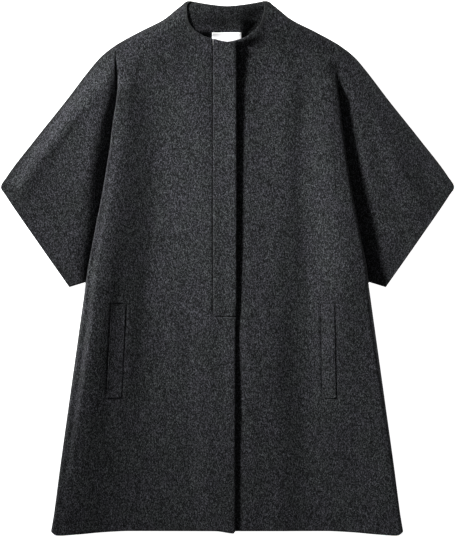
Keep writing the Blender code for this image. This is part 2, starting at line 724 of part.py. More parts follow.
def inner_halves(nominal, side, outer):
    """Where a row's columns stand between the free edge and the fold at the side."""
    edge = lap_edge(nominal) if side.over else UNDERLAP_EDGE
    neck = neck_side(NECK_SIDE_UP, side)
    halves = [mix(edge, PLACKET_SEAM, k / LAP_COLUMNS) for k in range(LAP_COLUMNS)]
    halves += [mix(PLACKET_SEAM, neck, k / NECK_COLUMNS) for k in range(NECK_COLUMNS)]
    crowding = ease((nominal - EDGEWARD_FROM_UP) / (NECK_SIDE_UP - EDGEWARD_FROM_UP))
    power = mix(1.0, EDGEWARD, crowding)
    for k in range(BODY_COLUMNS):
        halves.append(mix(neck, outer, 1 - (1 - k / BODY_COLUMNS) ** power))
    return halves


def sleeve_columns(nominal, side, start):
    """The sleeve, from the pleat's inner fold to the cuff or the overarm."""
    outer = cuff_half(nominal)
    columns = {}
    for k in range(SLEEVE_COLUMNS + 1):
        half = mix(start, outer, k / SLEEVE_COLUMNS)
        up = sleeve_up(half, nominal)
        columns[FIRST_SLEEVE + k] = (half, up, sleeve_height(half, up, side, outer))
    return columns


def back_rows(side):
    """Every row of one half of the back."""
    return [back_row(nominal, side) for nominal in collar_heights() + row_heights(BACK_STOPS)]


def back_row(nominal, side):
    """A row from the centre back to the side, or on to the cuff."""
    outer = seam_half(nominal) if on_shoulder(nominal) else side_half(nominal, side)
    row = {}
    for column, share in enumerate(BACK_SHARES):
        half = outer * share
        up = hem_line(half, nominal, side) + collar_dip(half, nominal)
        row[column] = (half, up, back_height(half, nominal, side))
    if has_sleeve(nominal):
        for k in range(1, BACK_SLEEVE_COLUMNS + 1):
            half = mix(outer, cuff_half(nominal), k / BACK_SLEEVE_COLUMNS)
            height = back_height(half, nominal, side)
            row[len(BACK_SHARES) - 1 + k] = (half, sleeve_up(half, nominal), height)
    return row


# ---- Sheets ----
def place(point, sign):
    """A row's point on one side of the coat, in the coat's own frame."""
    half, up, height = point
    return Vector((sign * half, up - COAT_LENGTH / 2, height))


def sheet_mesh(rows, sign, keep=lambda row, column: True):
    """A middle surface: a quad between neighbouring rows and columns, and a fan where the next row
    reaches further out. keep(row, column) tells which cells belong to the piece."""
    mesh = bmesh.new()
    verts = {}

    def vert(row, column):
        key = (row, column)
        if key not in verts:
            verts[key] = mesh.verts.new(place(rows[row][column], sign))
        return verts[key]

    def face(*corners):
        mesh.faces.new(corners if sign < 0 else corners[::-1])

    for row, (here, below) in enumerate(zip(rows, rows[1:])):
        last = max(here)
        for column in sorted(here):
            inside = column + 1 in here and column in below and column + 1 in below
            if inside and keep(row, column):
                face(
                    vert(row, column),
                    vert(row, column + 1),
                    vert(row + 1, column + 1),
                    vert(row + 1, column),
                )
        for column in range(last, max(below)):
            if keep(row, column):
                face(vert(row, last), vert(row + 1, column + 1), vert(row + 1, column))
    return mesh


def join(first, second):
    """The first mesh with the second one sewn on where their points meet."""
    data = bpy.data.meshes.new("half")
    second.to_mesh(data)
    second.free()
    first.from_mesh(data)
    bpy.data.meshes.remove(data)
    bmesh.ops.remove_doubles(first, verts=first.verts[:], dist=TINY)
    return first


def raised(mesh, distance):
    """Moves a middle surface out along its own normals."""
    mesh.normal_update()
    for vert in mesh.verts:
        vert.co += vert.normal * distance
    return mesh


def patch(mesh, corners):
    """The part of a middle surface inside a four-cornered outline."""
    bmesh.ops.triangulate(mesh, faces=mesh.faces[:])
    points = [Vector((across, up - COAT_LENGTH / 2, 0)) for across, up in corners]
    centre = sum(points, Vector()) / len(points)
    for first, second in zip(points, points[1:] + points[:1]):
        along = second - first
        outwards = Vector((along.y, -along.x, 0)).normalized()
        if outwards.dot(centre - first) > 0:
            outwards = -outwards
        bmesh.ops.bisect_plane(
            mesh,
            geom=mesh.verts[:] + mesh.edges[:] + mesh.faces[:],
            dist=TINY,
            plane_co=first,
            plane_no=outwards,
            clear_outer=True,
        )
    bmesh.ops.remove_doubles(mesh, verts=mesh.verts[:], dist=SLIVER)
    return mesh


def material(name, finish):
    """A matt material of one colour."""
    made = bpy.data.materials.new(name)
    made.use_nodes = True
    shader = made.node_tree.nodes["Principled BSDF"]
    shader.inputs["Base Color"].default_value = finish.colour
    shader.inputs["Roughness"].default_value = finish.roughness
    shader.inputs["Metallic"].default_value = 0.0
    return made


def solid(name, mesh, wall, finish):
    """An object with a wall of even thickness round the middle surface."""
    data = bpy.data.meshes.new(name)
    bmesh.ops.triangulate(mesh, faces=mesh.faces[:])
    mesh.to_mesh(data)
    mesh.free()
    data.shade_smooth()
    data.materials.append(material(name + "_finish", finish))
    made = bpy.data.objects.new(name, data)
    bpy.context.scene.collection.objects.link(made)
    modifier = made.modifiers.new("Wall", "SOLIDIFY")
    modifier.thickness = wall
    modifier.offset = 0.0
    return made


# ---- The pieces ----
def placket_end_row():
    """The row at which the placket ends."""
    heights = collar_heights() + row_heights(FRONT_STOPS)
    return min(range(len(heights)), key=lambda k: abs(heights[k] - PLACKET_END_UP))


def in_placket(row, column):
    """The placket's cells: the lap above the placket's end."""
    return row < placket_end_row() and column < LAP_COLUMNS


def in_front_right(row, column):
    """The right front's cells: all but the placket's."""
    return not in_placket(row, column)


def inside_fold(row, column):
    """The cells of a front between its free edge and the fold at its side."""
    return column < FIRST_FOLD


def part_seam(rows, towards):
    """Opens the placket's seam by half a gap: 1 for the placket's edge of it, -1 for the front's."""
    shift = towards * SEAM_GAP / 2
    end = placket_end_row()
    moved = [dict(row) for row in rows]
    for row in moved[: end + 1]:
        if LAP_COLUMNS in row:
            half, up, height = row[LAP_COLUMNS]
            row[LAP_COLUMNS] = (half - shift, up, height)
    for column in range(LAP_COLUMNS + 1):
        half, up, height = moved[end][column]
        moved[end][column] = (half, up + shift, height)
    return moved


def build_back():
    """The back, and the label on the inside of its collar."""
    back = join(sheet_mesh(back_rows(RIGHT), RIGHT.sign), sheet_mesh(back_rows(LEFT), LEFT.sign))
    label = patch(back.copy(), LABEL)
    solid("back", back, CLOTH, WOOL_UNDER)
    raised(label, CLOTH / 2 + SEAM_GAP + LABEL_WALL / 2)
    solid("label", label, LABEL_WALL, WHITE_TAPE)


def build_welt(name, rows, side, corners):
    """A pocket welt on a front, made from the front's own points."""
    on_front = raised(sheet_mesh(rows, side.sign, inside_fold), CLOTH / 2 + SEAM_GAP + WELT_WALL / 2)
    solid(name, patch(on_front, corners), WELT_WALL, WOOL)


def build_fronts():
    """Both fronts, the placket that is set into the right one, and their pocket welts."""
    right = front_rows(RIGHT)
    left = front_rows(LEFT)
    front_right = sheet_mesh(part_seam(right, -1), RIGHT.sign, in_front_right)
    placket = sheet_mesh(part_seam(right, 1), RIGHT.sign, in_placket)
    solid("front_right", front_right, CLOTH, WOOL)
    solid("placket", raised(placket, PLACKET_PROUD), PLACKET_WALL, WOOL)
    solid("front_left", sheet_mesh(left, LEFT.sign), CLOTH, WOOL)
    build_welt("welt_right", right, RIGHT, WELT_RIGHT)
    build_welt("welt_left", left, LEFT, WELT_LEFT)


def main():
    """Builds the coat in an emptied scene."""
    for leftover in list(bpy.data.objects):
        bpy.data.objects.remove(leftover)
    build_back()
    build_fronts()


main()
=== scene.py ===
"""Wool cape coat, laid flat on its back: the looks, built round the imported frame.

Metres, +Z up. The coat lies on the plane z = 0 with its collar towards +Y and its wearer's left
sleeve towards +X. Each panel is a thin shell of cloth: a middle surface, worked out row by row from
the tables below, that gets a wall, rounded edges and a brushed melange finish.

"up" is a height above the lowest point of the hem, "half" is a distance from the centre line, and
"across" is a distance towards +X. A sheet is a grid: its rows run across the coat from the collar
down, and its columns are counted from the centre or the free edge outwards. "nominal" is the height
of a row where it is level, because rows bend with the neck, the hem and the underarm.
"""

import logging
import math
from collections.abc import Callable, Sequence
from dataclasses import dataclass
from enum import Enum
from functools import cached_property
from typing import NamedTuple

import bmesh
import bpy
import numpy as np
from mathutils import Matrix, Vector
from mathutils.kdtree import KDTree

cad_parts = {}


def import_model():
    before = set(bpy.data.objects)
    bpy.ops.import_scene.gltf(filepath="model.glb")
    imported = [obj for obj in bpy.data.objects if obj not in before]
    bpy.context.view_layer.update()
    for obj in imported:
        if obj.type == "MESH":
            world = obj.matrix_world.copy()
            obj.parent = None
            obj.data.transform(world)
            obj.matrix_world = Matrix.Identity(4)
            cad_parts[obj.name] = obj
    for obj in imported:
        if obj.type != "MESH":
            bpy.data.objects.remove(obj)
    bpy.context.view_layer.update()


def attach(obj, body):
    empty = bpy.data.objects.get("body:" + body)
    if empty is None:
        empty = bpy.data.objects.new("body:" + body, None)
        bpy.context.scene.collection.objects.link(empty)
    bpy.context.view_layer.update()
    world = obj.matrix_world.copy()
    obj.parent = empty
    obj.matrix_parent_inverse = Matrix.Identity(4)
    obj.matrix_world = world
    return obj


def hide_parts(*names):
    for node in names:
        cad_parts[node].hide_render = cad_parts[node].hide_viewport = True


LOG = logging.getLogger("cape_coat")
TINY = 1e-6  # a distance that counts as none
HIGHLIGHT_ATTRIBUTE = "nap"  # the attribute that tells how near a top edge of the cloth is, for the highlight painted along it
HIGHLIGHT_WIDTH = 0.0110  # width of the lighter strip painted along the top edges as their highlight
# Two stretches of painted highlight on the top edges, which face the light: beyond the distance below
# from the centre line and above the first height, which is the overarm, the shoulder and the collar's
# sides, and above the second height, which is the collar's top; both heights count from the coat's
# middle.
HIGHLIGHT_HALF = 0.0600
HIGHLIGHT_FROM = 0.1560
HIGHLIGHT_TOP = 0.4950
EDGE_ROOM = 0.45  # an edge vertex moves in by at most this share of the shortest cell beside it
SHARPEST_MITRE = 0.5  # at a corner the wall's edge goes out by at most 1 / this times its radius
WAVE_LENGTH = math.pi / 10  # length of one wave of a Wave texture whose scale is 1

Array = np.ndarray
Colour = tuple[float, float, float]
Socket = bpy.types.NodeSocket


# ---- Tables: rows run from the collar down ----
class OutlineRow(NamedTuple):
    """Half width of an edge at a height."""

    up: float
    half: float


class NeckSideRow(NamedTuple):
    """Half width of the neck opening on either side."""

    up: float
    half_right: float
    half_left: float


class NeckRow(NamedTuple):
    """How the collar stands off the table and the cloth lies down on the chest.

    seam_tilt is how steeply the cloth leaves its side seam, in degrees. side and nape are the
    heights of the back's middle surface at that seam and at the centre, hollow is how much it sags
    on the wearer's left of that, crown is the height of the front's, and reach is how far in from
    the seam it gets there.
    """

    up: float
    seam_tilt: float
    side: float
    nape: float
    hollow: float
    crown: float
    reach: float


class PleatRow(NamedTuple):
    """The pleat that each front takes under its side: turn is in degrees, at each of its folds."""

    up: float
    turn: float
    radius_right: float
    radius_left: float
    depth: float


class FoldRow(NamedTuple):
    """Where the outer fold of the pleat runs, above the underarm."""

    up: float
    half_right: float
    half_left: float


class CrestRow(NamedTuple):
    """Height of the front's middle surface at its side, below the underarm."""

    up: float
    crest_right: float
    crest_left: float


class Corner(NamedTuple):
    """A corner of a straight-sided patch."""

    across: float
    up: float


class ValueRow(NamedTuple):
    """One value that changes with height."""

    up: float
    value: float


class HemRow(NamedTuple):
    """How much lower the hem hangs at a distance from the centre line than on it."""

    half: float
    drop: float


class RollRow(NamedTuple):
    """A soft roll beside the pleat: its height and its distance from the body's edge.

    On the wearer's right it is the sleeve that rolls down to the pleat, on the left the body.
    """

    up: float
    rise_right: float
    away_right: float
    rise_left: float
    away_left: float


class Flute(NamedTuple):
    """A soft ridge down the cloth: its line, its spread, and its rise at four heights in turn."""

    top_across: float
    foot_across: float
    spread_top: float
    spread_foot: float
    rise_top: float
    rise_high: float
    rise_low: float
    rise_foot: float

    @property
    def rises(self) -> tuple[float, float, float, float]:
        """The rises from the top down."""
        return self.rise_top, self.rise_high, self.rise_low, self.rise_foot


SHOULDER_AND_CUFF = (  # the collar's side, the shoulder and overarm, the sleeve's tip and the cuff
    OutlineRow(1.0265, 0.0700),
    OutlineRow(1.0255, 0.0752),
    OutlineRow(1.0243, 0.0787),
    OutlineRow(1.0227, 0.0820),
    OutlineRow(1.0190, 0.0858),
    OutlineRow(1.0092, 0.0983),
    OutlineRow(0.9900, 0.1223),
    OutlineRow(0.9669, 0.1684),
    OutlineRow(0.9439, 0.2105),
    OutlineRow(0.9208, 0.2413),
    OutlineRow(0.8978, 0.2618),
    OutlineRow(0.8364, 0.3089),
    OutlineRow(0.7596, 0.3700),
    OutlineRow(0.6904, 0.4228),
    OutlineRow(0.6684, 0.4352),
    OutlineRow(0.6550, 0.4272),
    OutlineRow(0.5752, 0.3727),
    OutlineRow(0.4770, 0.3038),
)
NECK_SIDE = (
    NeckSideRow(1.0265, 0.0690, 0.0670),
    NeckSideRow(1.0168, 0.0780, 0.0712),
    NeckSideRow(0.9965, 0.0768, 0.0680),
    NeckSideRow(0.9823, 0.0718, 0.0628),
    NeckSideRow(0.9696, 0.0628, 0.0526),
)
NECK = (
    NeckRow(1.0265, 22, 0.0185, 0.0216, 0.0010, 0.0236, 0.0220),
    NeckRow(1.0168, 22, 0.0180, 0.0196, 0.0030, 0.0262, 0.0280),
    NeckRow(0.9958, 22, 0.0155, 0.0144, 0.0075, 0.0262, 0.0420),
    NeckRow(0.9696, 20, 0.0110, 0.0074, 0.0084, 0.0235, 0.0800),
    NeckRow(0.9472, 14, 0.0060, 0.0062, 0.0070, 0.0205, 0.1200),
    NeckRow(0.9200, 5, 0.0022, 0.0018, 0.0000, 0.0160, 0.1450),
    NeckRow(0.8800, 0, 0.0013, 0.0013, 0.0000, 0.0106, 0.1500),
    NeckRow(0.8300, 0, 0.0013, 0.0013, 0.0000, 0.0066, 0.1500),
    NeckRow(0.7700, 0, 0.0013, 0.0013, 0.0000, 0.0046, 0.1500),
    NeckRow(0.7000, 0, 0.0013, 0.0013, 0.0000, 0.0042, 0.1500),
)
PLEAT = (
    PleatRow(0.9320, 4, 0.0030, 0.0120, 0.0020),
    PleatRow(0.9170, 12, 0.0030, 0.0120, 0.0020),
    PleatRow(0.8950, 19, 0.0028, 0.0105, 0.0020),
    PleatRow(0.8800, 38, 0.0027, 0.0058, 0.0020),
    PleatRow(0.8640, 85, 0.0025, 0.0030, 0.0020),
    PleatRow(0.8500, 140, 0.0025, 0.0027, 0.0025),
    PleatRow(0.8364, 180, 0.0026, 0.0030, 0.0080),
    PleatRow(0.7100, 180, 0.0033, 0.0045, 0.0270),
    PleatRow(0.5880, 180, 0.0038, 0.0056, 0.0410),
    PleatRow(0.4852, 180, 0.0041, 0.0055, 0.0500),
)
SIDE_CREST = (
    CrestRow(0.4852, 0.0206, 0.0262),
    CrestRow(0.4000, 0.0160, 0.0200),
    CrestRow(0.3000, 0.0120, 0.0140),
    CrestRow(0.2000, 0.0096, 0.0106),
    CrestRow(0.1000, 0.0083, 0.0088),
    CrestRow(0.0000, 0.0076, 0.0080),
)
FOLD_EDGE = (
    FoldRow(0.9247, 0.2098, 0.2080),
    FoldRow(0.8863, 0.2094, 0.2086),
    FoldRow(0.8402, 0.2128, 0.2142),
    FoldRow(0.7941, 0.2198, 0.2194),
    FoldRow(0.7480, 0.2256, 0.2256),
    FoldRow(0.7020, 0.2328, 0.2321),
    FoldRow(0.6559, 0.2406, 0.2398),
    FoldRow(0.6098, 0.2497, 0.2489),
    FoldRow(0.5637, 0.2587, 0.2577),
    FoldRow(0.5176, 0.2670, 0.2666),
    FoldRow(0.4852, 0.2721, 0.2706),
)
RAMP = (  # how far in from the fold at its side a front starts to change to the fold's height
    ValueRow(0.9247, 0.0300),
    ValueRow(0.8364, 0.0600),
    ValueRow(0.7100, 0.0800),
    ValueRow(0.4852, 0.0850),
    ValueRow(0.2000, 0.0850),
    ValueRow(0.0000, 0.0700),
)
ROLL = (
    RollRow(0.9370, 0.0000, 0.0150, 0.0000, 0.0180),
    RollRow(0.9200, 0.0030, 0.0170, 0.0022, 0.0180),
    RollRow(0.8940, 0.0066, 0.0190, 0.0042, 0.0195),
    RollRow(0.8630, 0.0106, 0.0240, 0.0036, 0.0195),
    RollRow(0.8316, 0.0130, 0.0290, 0.0026, 0.0180),
    RollRow(0.8000, 0.0142, 0.0300, 0.0022, 0.0165),
    RollRow(0.7570, 0.0137, 0.0350, 0.0022, 0.0150),
    RollRow(0.7135, 0.0136, 0.0360, 0.0015, 0.0110),
    RollRow(0.6675, 0.0120, 0.0310, 0.0015, 0.0120),
    RollRow(0.6214, 0.0092, 0.0270, 0.0020, 0.0160),
    RollRow(0.5753, 0.0085, 0.0240, 0.0019, 0.0180),
    RollRow(0.5292, 0.0078, 0.0200, 0.0028, 0.0250),
    RollRow(0.4852, 0.0074, 0.0180, 0.0020, 0.0220),
    RollRow(0.4300, 0.0074, 0.0180, 0.0000, 0.0200),
)
BODY_FLUTES = (
    Flute(-0.200, -0.300, 0.032, 0.042, 0.0010, 0.0060, 0.0125, 0.0030),
    Flute(-0.150, -0.215, 0.022, 0.030, 0.0000, 0.0010, 0.0060, 0.0000),
    Flute(-0.062, -0.088, 0.038, 0.046, 0.0065, 0.0085, 0.0060, 0.0045),
    Flute(-0.020, -0.030, 0.030, 0.036, 0.0030, 0.0105, 0.0085, 0.0085),
    Flute(0.030, 0.040, 0.030, 0.036, 0.0055, 0.0115, 0.0130, 0.0085),
    Flute(0.070, 0.100, 0.032, 0.042, 0.0035, 0.0105, 0.0145, 0.0085),
    Flute(0.110, 0.150, 0.030, 0.040, 0.0085, 0.0085, 0.0030, 0.0010),
    Flute(0.150, 0.215, 0.030, 0.040, 0.0055, 0.0010, 0.0080, 0.0030),
)
SLEEVE_FLUTES = (
    Flute(-0.222, -0.370, 0.014, 0.075, 0.0000, 0.0065, 0.0030, 0.0050),
    Flute(-0.255, -0.830, 0.014, 0.080, 0.0080, 0.0065, 0.0060, 0.0000),
    Flute(0.226, 0.420, 0.016, 0.080, 0.0055, 0.0045, 0.0010, 0.0050),
    Flute(0.243, 0.650, 0.014, 0.080, 0.0030, 0.0080, 0.0010, 0.0000),
)
LAP_EDGE_LIFT = (  # how far the right front's free edge curls up
    ValueRow(0.9472, 0.0070),
    ValueRow(0.9000, 0.0054),
    ValueRow(0.6000, 0.0050),
    ValueRow(0.4800, 0.0036),
    ValueRow(0.4300, 0.0028),
    ValueRow(0.2600, 0.0052),
    ValueRow(0.1200, 0.0034),
    ValueRow(0.0000, 0.0036),
)
LAP_EDGE = (  # how far the right front's free edge lies past the centre line
    ValueRow(0.9472, 0.0184),
    ValueRow(0.4500, 0.0182),
    ValueRow(0.4000, 0.0152),
    ValueRow(0.0000, 0.0148),
)
WELT_RIGHT = (
    Corner(-0.2222, 0.4430),
    Corner(-0.1949, 0.4430),
    Corner(-0.2035, 0.2652),
    Corner(-0.2318, 0.2644),
)
WELT_LEFT = (
    Corner(0.2050, 0.4447),
    Corner(0.1792, 0.4447),
    Corner(0.1827, 0.2642),
    Corner(0.2084, 0.2642),
)
HEM_DROP = (
    HemRow(0.318, 0.0088),
    HemRow(0.280, 0.0060),
    HemRow(0.250, 0.0032),
    HemRow(0.220, 0.0012),
    HemRow(0.190, 0.0000),
    HemRow(0.000, 0.0000),
)


class Side(Enum):
    """A front of the coat, named for the wearer: (sign of its x, whether it laps over)."""

    RIGHT = (-1, True)
    LEFT = (1, False)

    @property
    def sign(self) -> int:
        """-1 for the right front, which lies on the -X side, and 1 for the left."""
        return self.value[0]

    @property
    def over(self) -> bool:
        """Whether this front laps over the other one."""
        return self.value[1]

    @property
    def welt(self) -> tuple[Corner, ...]:
        """The pocket welt: the tops of its opening and its seam, then their feet, seam first."""
        return WELT_RIGHT if self is Side.RIGHT else WELT_LEFT

    @property
    def word(self) -> str:
        """The ending of this side's columns in the tables."""
        return self.name.lower()


# ---- Curves ----
class Profile:
    """One column of a table as a smooth line along its first column, never overshooting it."""

    def __init__(self, table: Sequence[NamedTuple], column: str) -> None:
        """Reads the column.

        Args:
            table: Rows whose first field is the place.
            column: Name of the field that the line goes through.
        """
        rows = sorted(table, key=lambda row: row[0])
        self.at = np.array([row[0] for row in rows])
        self.values = np.array([getattr(row, column) for row in rows], float)
        rises = np.diff(self.values) / np.diff(self.at)
        slopes = np.concatenate(([rises[0]], np.zeros(len(rises) - 1), [rises[-1]]))
        for k in range(1, len(rises)):
            before, after = rises[k - 1], rises[k]
            if before * after > 0:
                slopes[k] = 2 * before * after / (before + after)
        self.slopes = slopes

    def __call__(self, place: Array | float) -> Array:
        """The line's value at a place or at each of several.

        Args:
            place: One place or several.

        Returns:
            The line's value at each.
        """
        place = np.clip(np.asarray(place, float), self.at[0], self.at[-1])
        i = np.clip(np.searchsorted(self.at, place, side="right") - 1, 0, len(self.at) - 2)
        span = self.at[i + 1] - self.at[i]
        t = (place - self.at[i]) / span
        return (
            (2 * t**3 - 3 * t**2 + 1) * self.values[i]
            + (t**3 - 2 * t**2 + t) * span * self.slopes[i]
            + (3 * t**2 - 2 * t**3) * self.values[i + 1]
            + (t**3 - t**2) * span * self.slopes[i + 1]
        )


def clamp(value: Array | float) -> Array:
    """The value, kept between 0 and 1."""
    return np.clip(value, 0.0, 1.0)


def ease(value: Array | float) -> Array:
    """0 to 1, level at both ends."""
    value = clamp(value)
    return value * value * (3 - 2 * value)


def mix(first: Array | float, second: Array | float, share: Array | float) -> Array:
    """A value between two others."""
    return first + (second - first) * share


def steps(count: int) -> Array:
    """Shares from 0 up to, but not with, 1."""
    return np.arange(count) / count


def to_end(count: int) -> Array:
    """Shares from the first one past 0 up to 1."""
    return (1 + np.arange(count)) / count


def for_side(table: Sequence[NamedTuple], column: str, side: Side) -> Profile:
    """A line through the column of a table that is for one side."""
    return Profile(table, f"{column}_{side.word}")


def row_heights(stops: Sequence[tuple[float, int]]) -> list[float]:
    """The heights of all rows from the first stop down to the last.

    Args:
        stops: (height, how many rows lie between it and the next).

    Returns:
        The heights, falling.
    """
    heights: list[float] = []
    for (up, rows), (below, _) in zip(stops, stops[1:]):
        heights += [float(mix(up, below, k / rows)) for k in range(rows)]
    return heights + [stops[-1][0]]


@dataclass(frozen=True)
class CoatForm:
    """The coat's form: its outline and the heights of its cloth, shared by all its panels."""

    # the cloth's thickness, and the gaps between pieces
    cloth: float = 0.0026
    seam_gap: float = 0.0003  # between two pieces that touch
    side_seam_gap: float = 0.0008  # between a front's turned side and the back
    standing_gap: float = 0.0008  # what a steep seam adds to its gap
    # heights where something starts or ends
    length: float = 1.0265
    collar_top: float = 1.0255
    collar_bend_up: float = 1.0165
    collar_centre_top: float = 1.0162
    neck_side_up: float = 0.9696
    neck_front_up: float = 0.9472
    sleeve_top_up: float = 0.9440
    pleat_closed_up: float = 0.8364
    sleeve_tip_up: float = 0.6684
    underarm_up: float = 0.4852
    placket_end_up: float = 0.4201
    hem_up: float = 0.0088
    # the collar's top edge and the neck's front edge
    collar_corner_half: float = 0.0685
    collar_dip_power: float = 1.5  # 1 makes the dip a vee, and more makes it rounder
    collar_dip_reach: float = 0.0500  # how far down the rows still dip
    neck_vee: float = 0.5  # share of a vee in the neck's edge, whose other half is a scoop
    neck_scoop_power: float = 3.5
    neck_bend_reach: float = 0.1650  # how far down the rows still bend
    # the underarm seam, the sides and the hem
    cuff_corner_half: float = 0.3038
    cuff_corner_up: float = 0.4770
    underarm_rise: float = 0.306  # slope of the underarm seam
    underarm_reach: float = 0.1000  # how far up the rows still slope with it
    side_at_hem_right: float = 0.3400
    side_at_hem_left: float = 0.3385
    side_flare: float = 0.1400  # how far a side goes out for each metre down
    side_roll: float = 0.0090  # radius of a side's turn, below side_roll_reach under the underarm
    side_roll_reach: float = 0.0800
    hem_corner_radius: float = 0.0150
    hem_corner_reach: float = 0.0400  # how far up the rows still take the corner's shape
    hem_reach: float = 0.1500  # how far up the rows still take the hem's line
    # the lap of the right front, and the left front under it
    underlap_edge: float = -0.0250
    placket_seam: float = 0.0278
    lap_rise: float = 0.0032  # the right front climbs by this between the next two distances
    lap_rise_from: float = 0.0780
    lap_rise_to: float = 0.0340
    lap_edge_curl: float = 0.0460  # width of the strip that curls up
    lap_edge_power: float = 1.2
    lap_edge_drop: float = 0.0035  # the edge itself turns down again by this
    lap_edge_roll: float = 0.0140
    lap_corner_drop: float = 0.0046
    lap_corner_reach: float = 0.0400
    lap_corner_radius: float = 0.0040
    # how deep a front sinks under its welt at the welt's seam and at its opening
    welt_bed_right: tuple[float, float] = (0.0012, 0.0018)
    welt_bed_left: tuple[float, float] = (0.0025, 0.0006)
    welt_ditch: float = 0.0036  # width of the way back up, past the opening and the foot
    welt_ramp: float = 0.0034  # the same past the seam and the top
    # the back, which rises to the neck, and its hollow on the wearer's left
    back_lies_from: float = 0.8800
    back_lies_to: float = 0.9200
    back_pull: float = 1.4  # at the collar; more keeps the back down further out
    back_pull_below: float = 9.0  # the same from neck_spread below the neck's side
    neck_spread: float = 0.0500
    hollow_from: float = 0.0080  # the hollow deepens between these distances at the collar's top
    hollow_to: float = 0.0680
    hollow_from_below: float = 0.0230  # and between these at the label
    hollow_to_below: float = 0.0430
    hollow_spread_from_up: float = 0.9700
    hollow_spread_to_up: float = 0.9960
    hollow_end: float = 0.0160  # it ends this far in from the seam
    # the soft break below the collar on the wearer's left: its line, its width and its ends
    break_rise: float = 0.0062
    break_at: Corner = Corner(0.0182, 0.9395)
    break_slope: float = 0.3150
    break_width: float = 0.0220
    break_from: float = 0.0000
    break_full: float = 0.0200
    break_fades: float = 0.0300
    break_end: float = 0.0950
    # the pleat beside each sleeve, and the roll of cloth next to it
    level_tilt: float = 0.0200  # the least tilt, in radians, that a rounded rise is worked out with
    pleat_bearing: float = 0.65  # share of the pleat's depth over which the front lies on it
    shortest_fold: float = 0.0060  # the least length of cloth in a fold
    fold_room: float = 0.0340  # nearer than this to the overarm the pleat gets smaller
    body_roll_tail: float = 0.0600  # how far past its top the roll fades away
    sleeve_roll_tail: float = 0.2300
    roll_fade: float = 0.0500  # a sleeve's flutes grow over this distance from the body's edge
    # the flutes: the first of the heights is where they end, and the others are those of their rises
    flute_top: float = 0.9000
    body_rises_up: tuple[float, ...] = (0.94, 0.85, 0.60, 0.35, 0.10)
    sleeve_rises_up: tuple[float, ...] = (0.90, 0.84, 0.72, 0.60, 0.49)
    side_fade: float = 0.0150  # a body's flutes grow over this distance from its side
    side_fade_left: float = 0.0340
    cuff_fade: float = 0.0500  # a sleeve's flutes and roll end over this distance from the cuff
    cuff_steps: int = 4  # passes until the end of a sloping row lies on the cuff
    # what the tables hold for both sides
    outline: Profile = Profile(SHOULDER_AND_CUFF, "half")
    side_rise: Profile = Profile(NECK, "side")
    nape: Profile = Profile(NECK, "nape")
    hollow: Profile = Profile(NECK, "hollow")
    tilt: Profile = Profile(NECK, "seam_tilt")
    crown: Profile = Profile(NECK, "crown")
    reach: Profile = Profile(NECK, "reach")
    pleat_turn: Profile = Profile(PLEAT, "turn")
    pleat_depth: Profile = Profile(PLEAT, "depth")
    ramp: Profile = Profile(RAMP, "value")
    edge_lift: Profile = Profile(LAP_EDGE_LIFT, "value")
    edge_past: Profile = Profile(LAP_EDGE, "value")
    hem_drop: Profile = Profile(HEM_DROP, "drop")

    # -- outline --
    def side_half(self, up: Array, side: Side) -> Array:
        """The straight side below the underarm, and the back's own line above it."""
        at_hem = self.side_at_hem_right if side is Side.RIGHT else self.side_at_hem_left
        return at_hem - self.side_flare * up

    def fold_half(self, up: Array, side: Side) -> Array:
        """The visible edge of the body: its side, and above the underarm the pleat's outer fold."""
        fold = for_side(FOLD_EDGE, "half", side)(up)
        return np.where(np.asarray(up) < self.underarm_up, self.side_half(up, side), fold)

    def sleeve_up(self, half: Array, nominal: float) -> Array:
        """Height of a sleeve's row, whose lowest ones slope with the underarm seam.

        Args:
            half: Distances of the row's columns from the centre line.
            nominal: The row's height where it is level.

        Returns:
            The columns' heights.
        """
        weight = ease(1 - (nominal - self.underarm_up) / self.underarm_reach)
        underarm = self.cuff_corner_up + self.underarm_rise * (self.cuff_corner_half - half)
        return nominal + (underarm - self.underarm_up) * weight

    def cuff_half(self, nominal: float) -> float:
        """Where a sleeve's row, level or sloping, meets the cuff or the overarm.

        Args:
            nominal: The row's height where it is level.

        Returns:
            The last column's distance from the centre line.
        """
        half = float(self.outline(nominal))
        for _ in range(self.cuff_steps):
            half = float(self.outline(self.sleeve_up(half, nominal)))
        return half

    def corner_rise(self, from_edge: Array, radius: float) -> Array:
        """How much a rounded corner lifts a bottom edge, at a distance from the side."""
        share = clamp(1 - from_edge / radius)
        return radius * (1 - np.sqrt(1 - share * share))

    def near_hem(self, nominal: float) -> float:
        """1 at the hem, fading to 0 above it."""
        return float(ease(1 - (nominal - self.hem_up) / self.hem_reach))

    def near_corner(self, nominal: float) -> float:
        """1 at the hem, falling evenly to 0 above its rounded corners."""
        return float(clamp(1 - (nominal - self.hem_up) / self.hem_corner_reach))

    def hem_line(self, half: Array, nominal: float, side: Side) -> Array:
        """Height of a row that follows the hem's line near it, with the hem's rounded corner.

        Args:
            half: Distances of the row's columns from the centre line.
            nominal: The row's height where it is level.
            side: The side of the coat.

        Returns:
            The columns' heights.
        """
        up = nominal - self.hem_drop(np.abs(half)) * self.near_hem(nominal)
        rise = self.corner_rise(self.side_half(up, side) - half, self.hem_corner_radius)
        return up + rise * self.near_corner(nominal)

    def neck_side(self, up: Array, side: Side) -> Array:
        """The side of the neck opening."""
        return for_side(NECK_SIDE, "half", side)(up)

    def neck_bend(self, half: Array, nominal: float, side: Side) -> Array:
        """Rows below the neck edge take its shallow vee, less and less down to the chest.

        Args:
            half: Distances of the row's columns from the centre line.
            nominal: The row's height where it is level.
            side: The front.

        Returns:
            What to add to the columns' heights, at most 0.
        """
        share = clamp(np.abs(half) / self.neck_side(self.neck_side_up, side))
        rise = mix(share**self.neck_scoop_power, share, self.neck_vee)
        scoop = (self.neck_front_up - self.neck_side_up) * (1 - rise)
        return scoop * ease(1 - (self.neck_side_up - nominal) / self.neck_bend_reach)

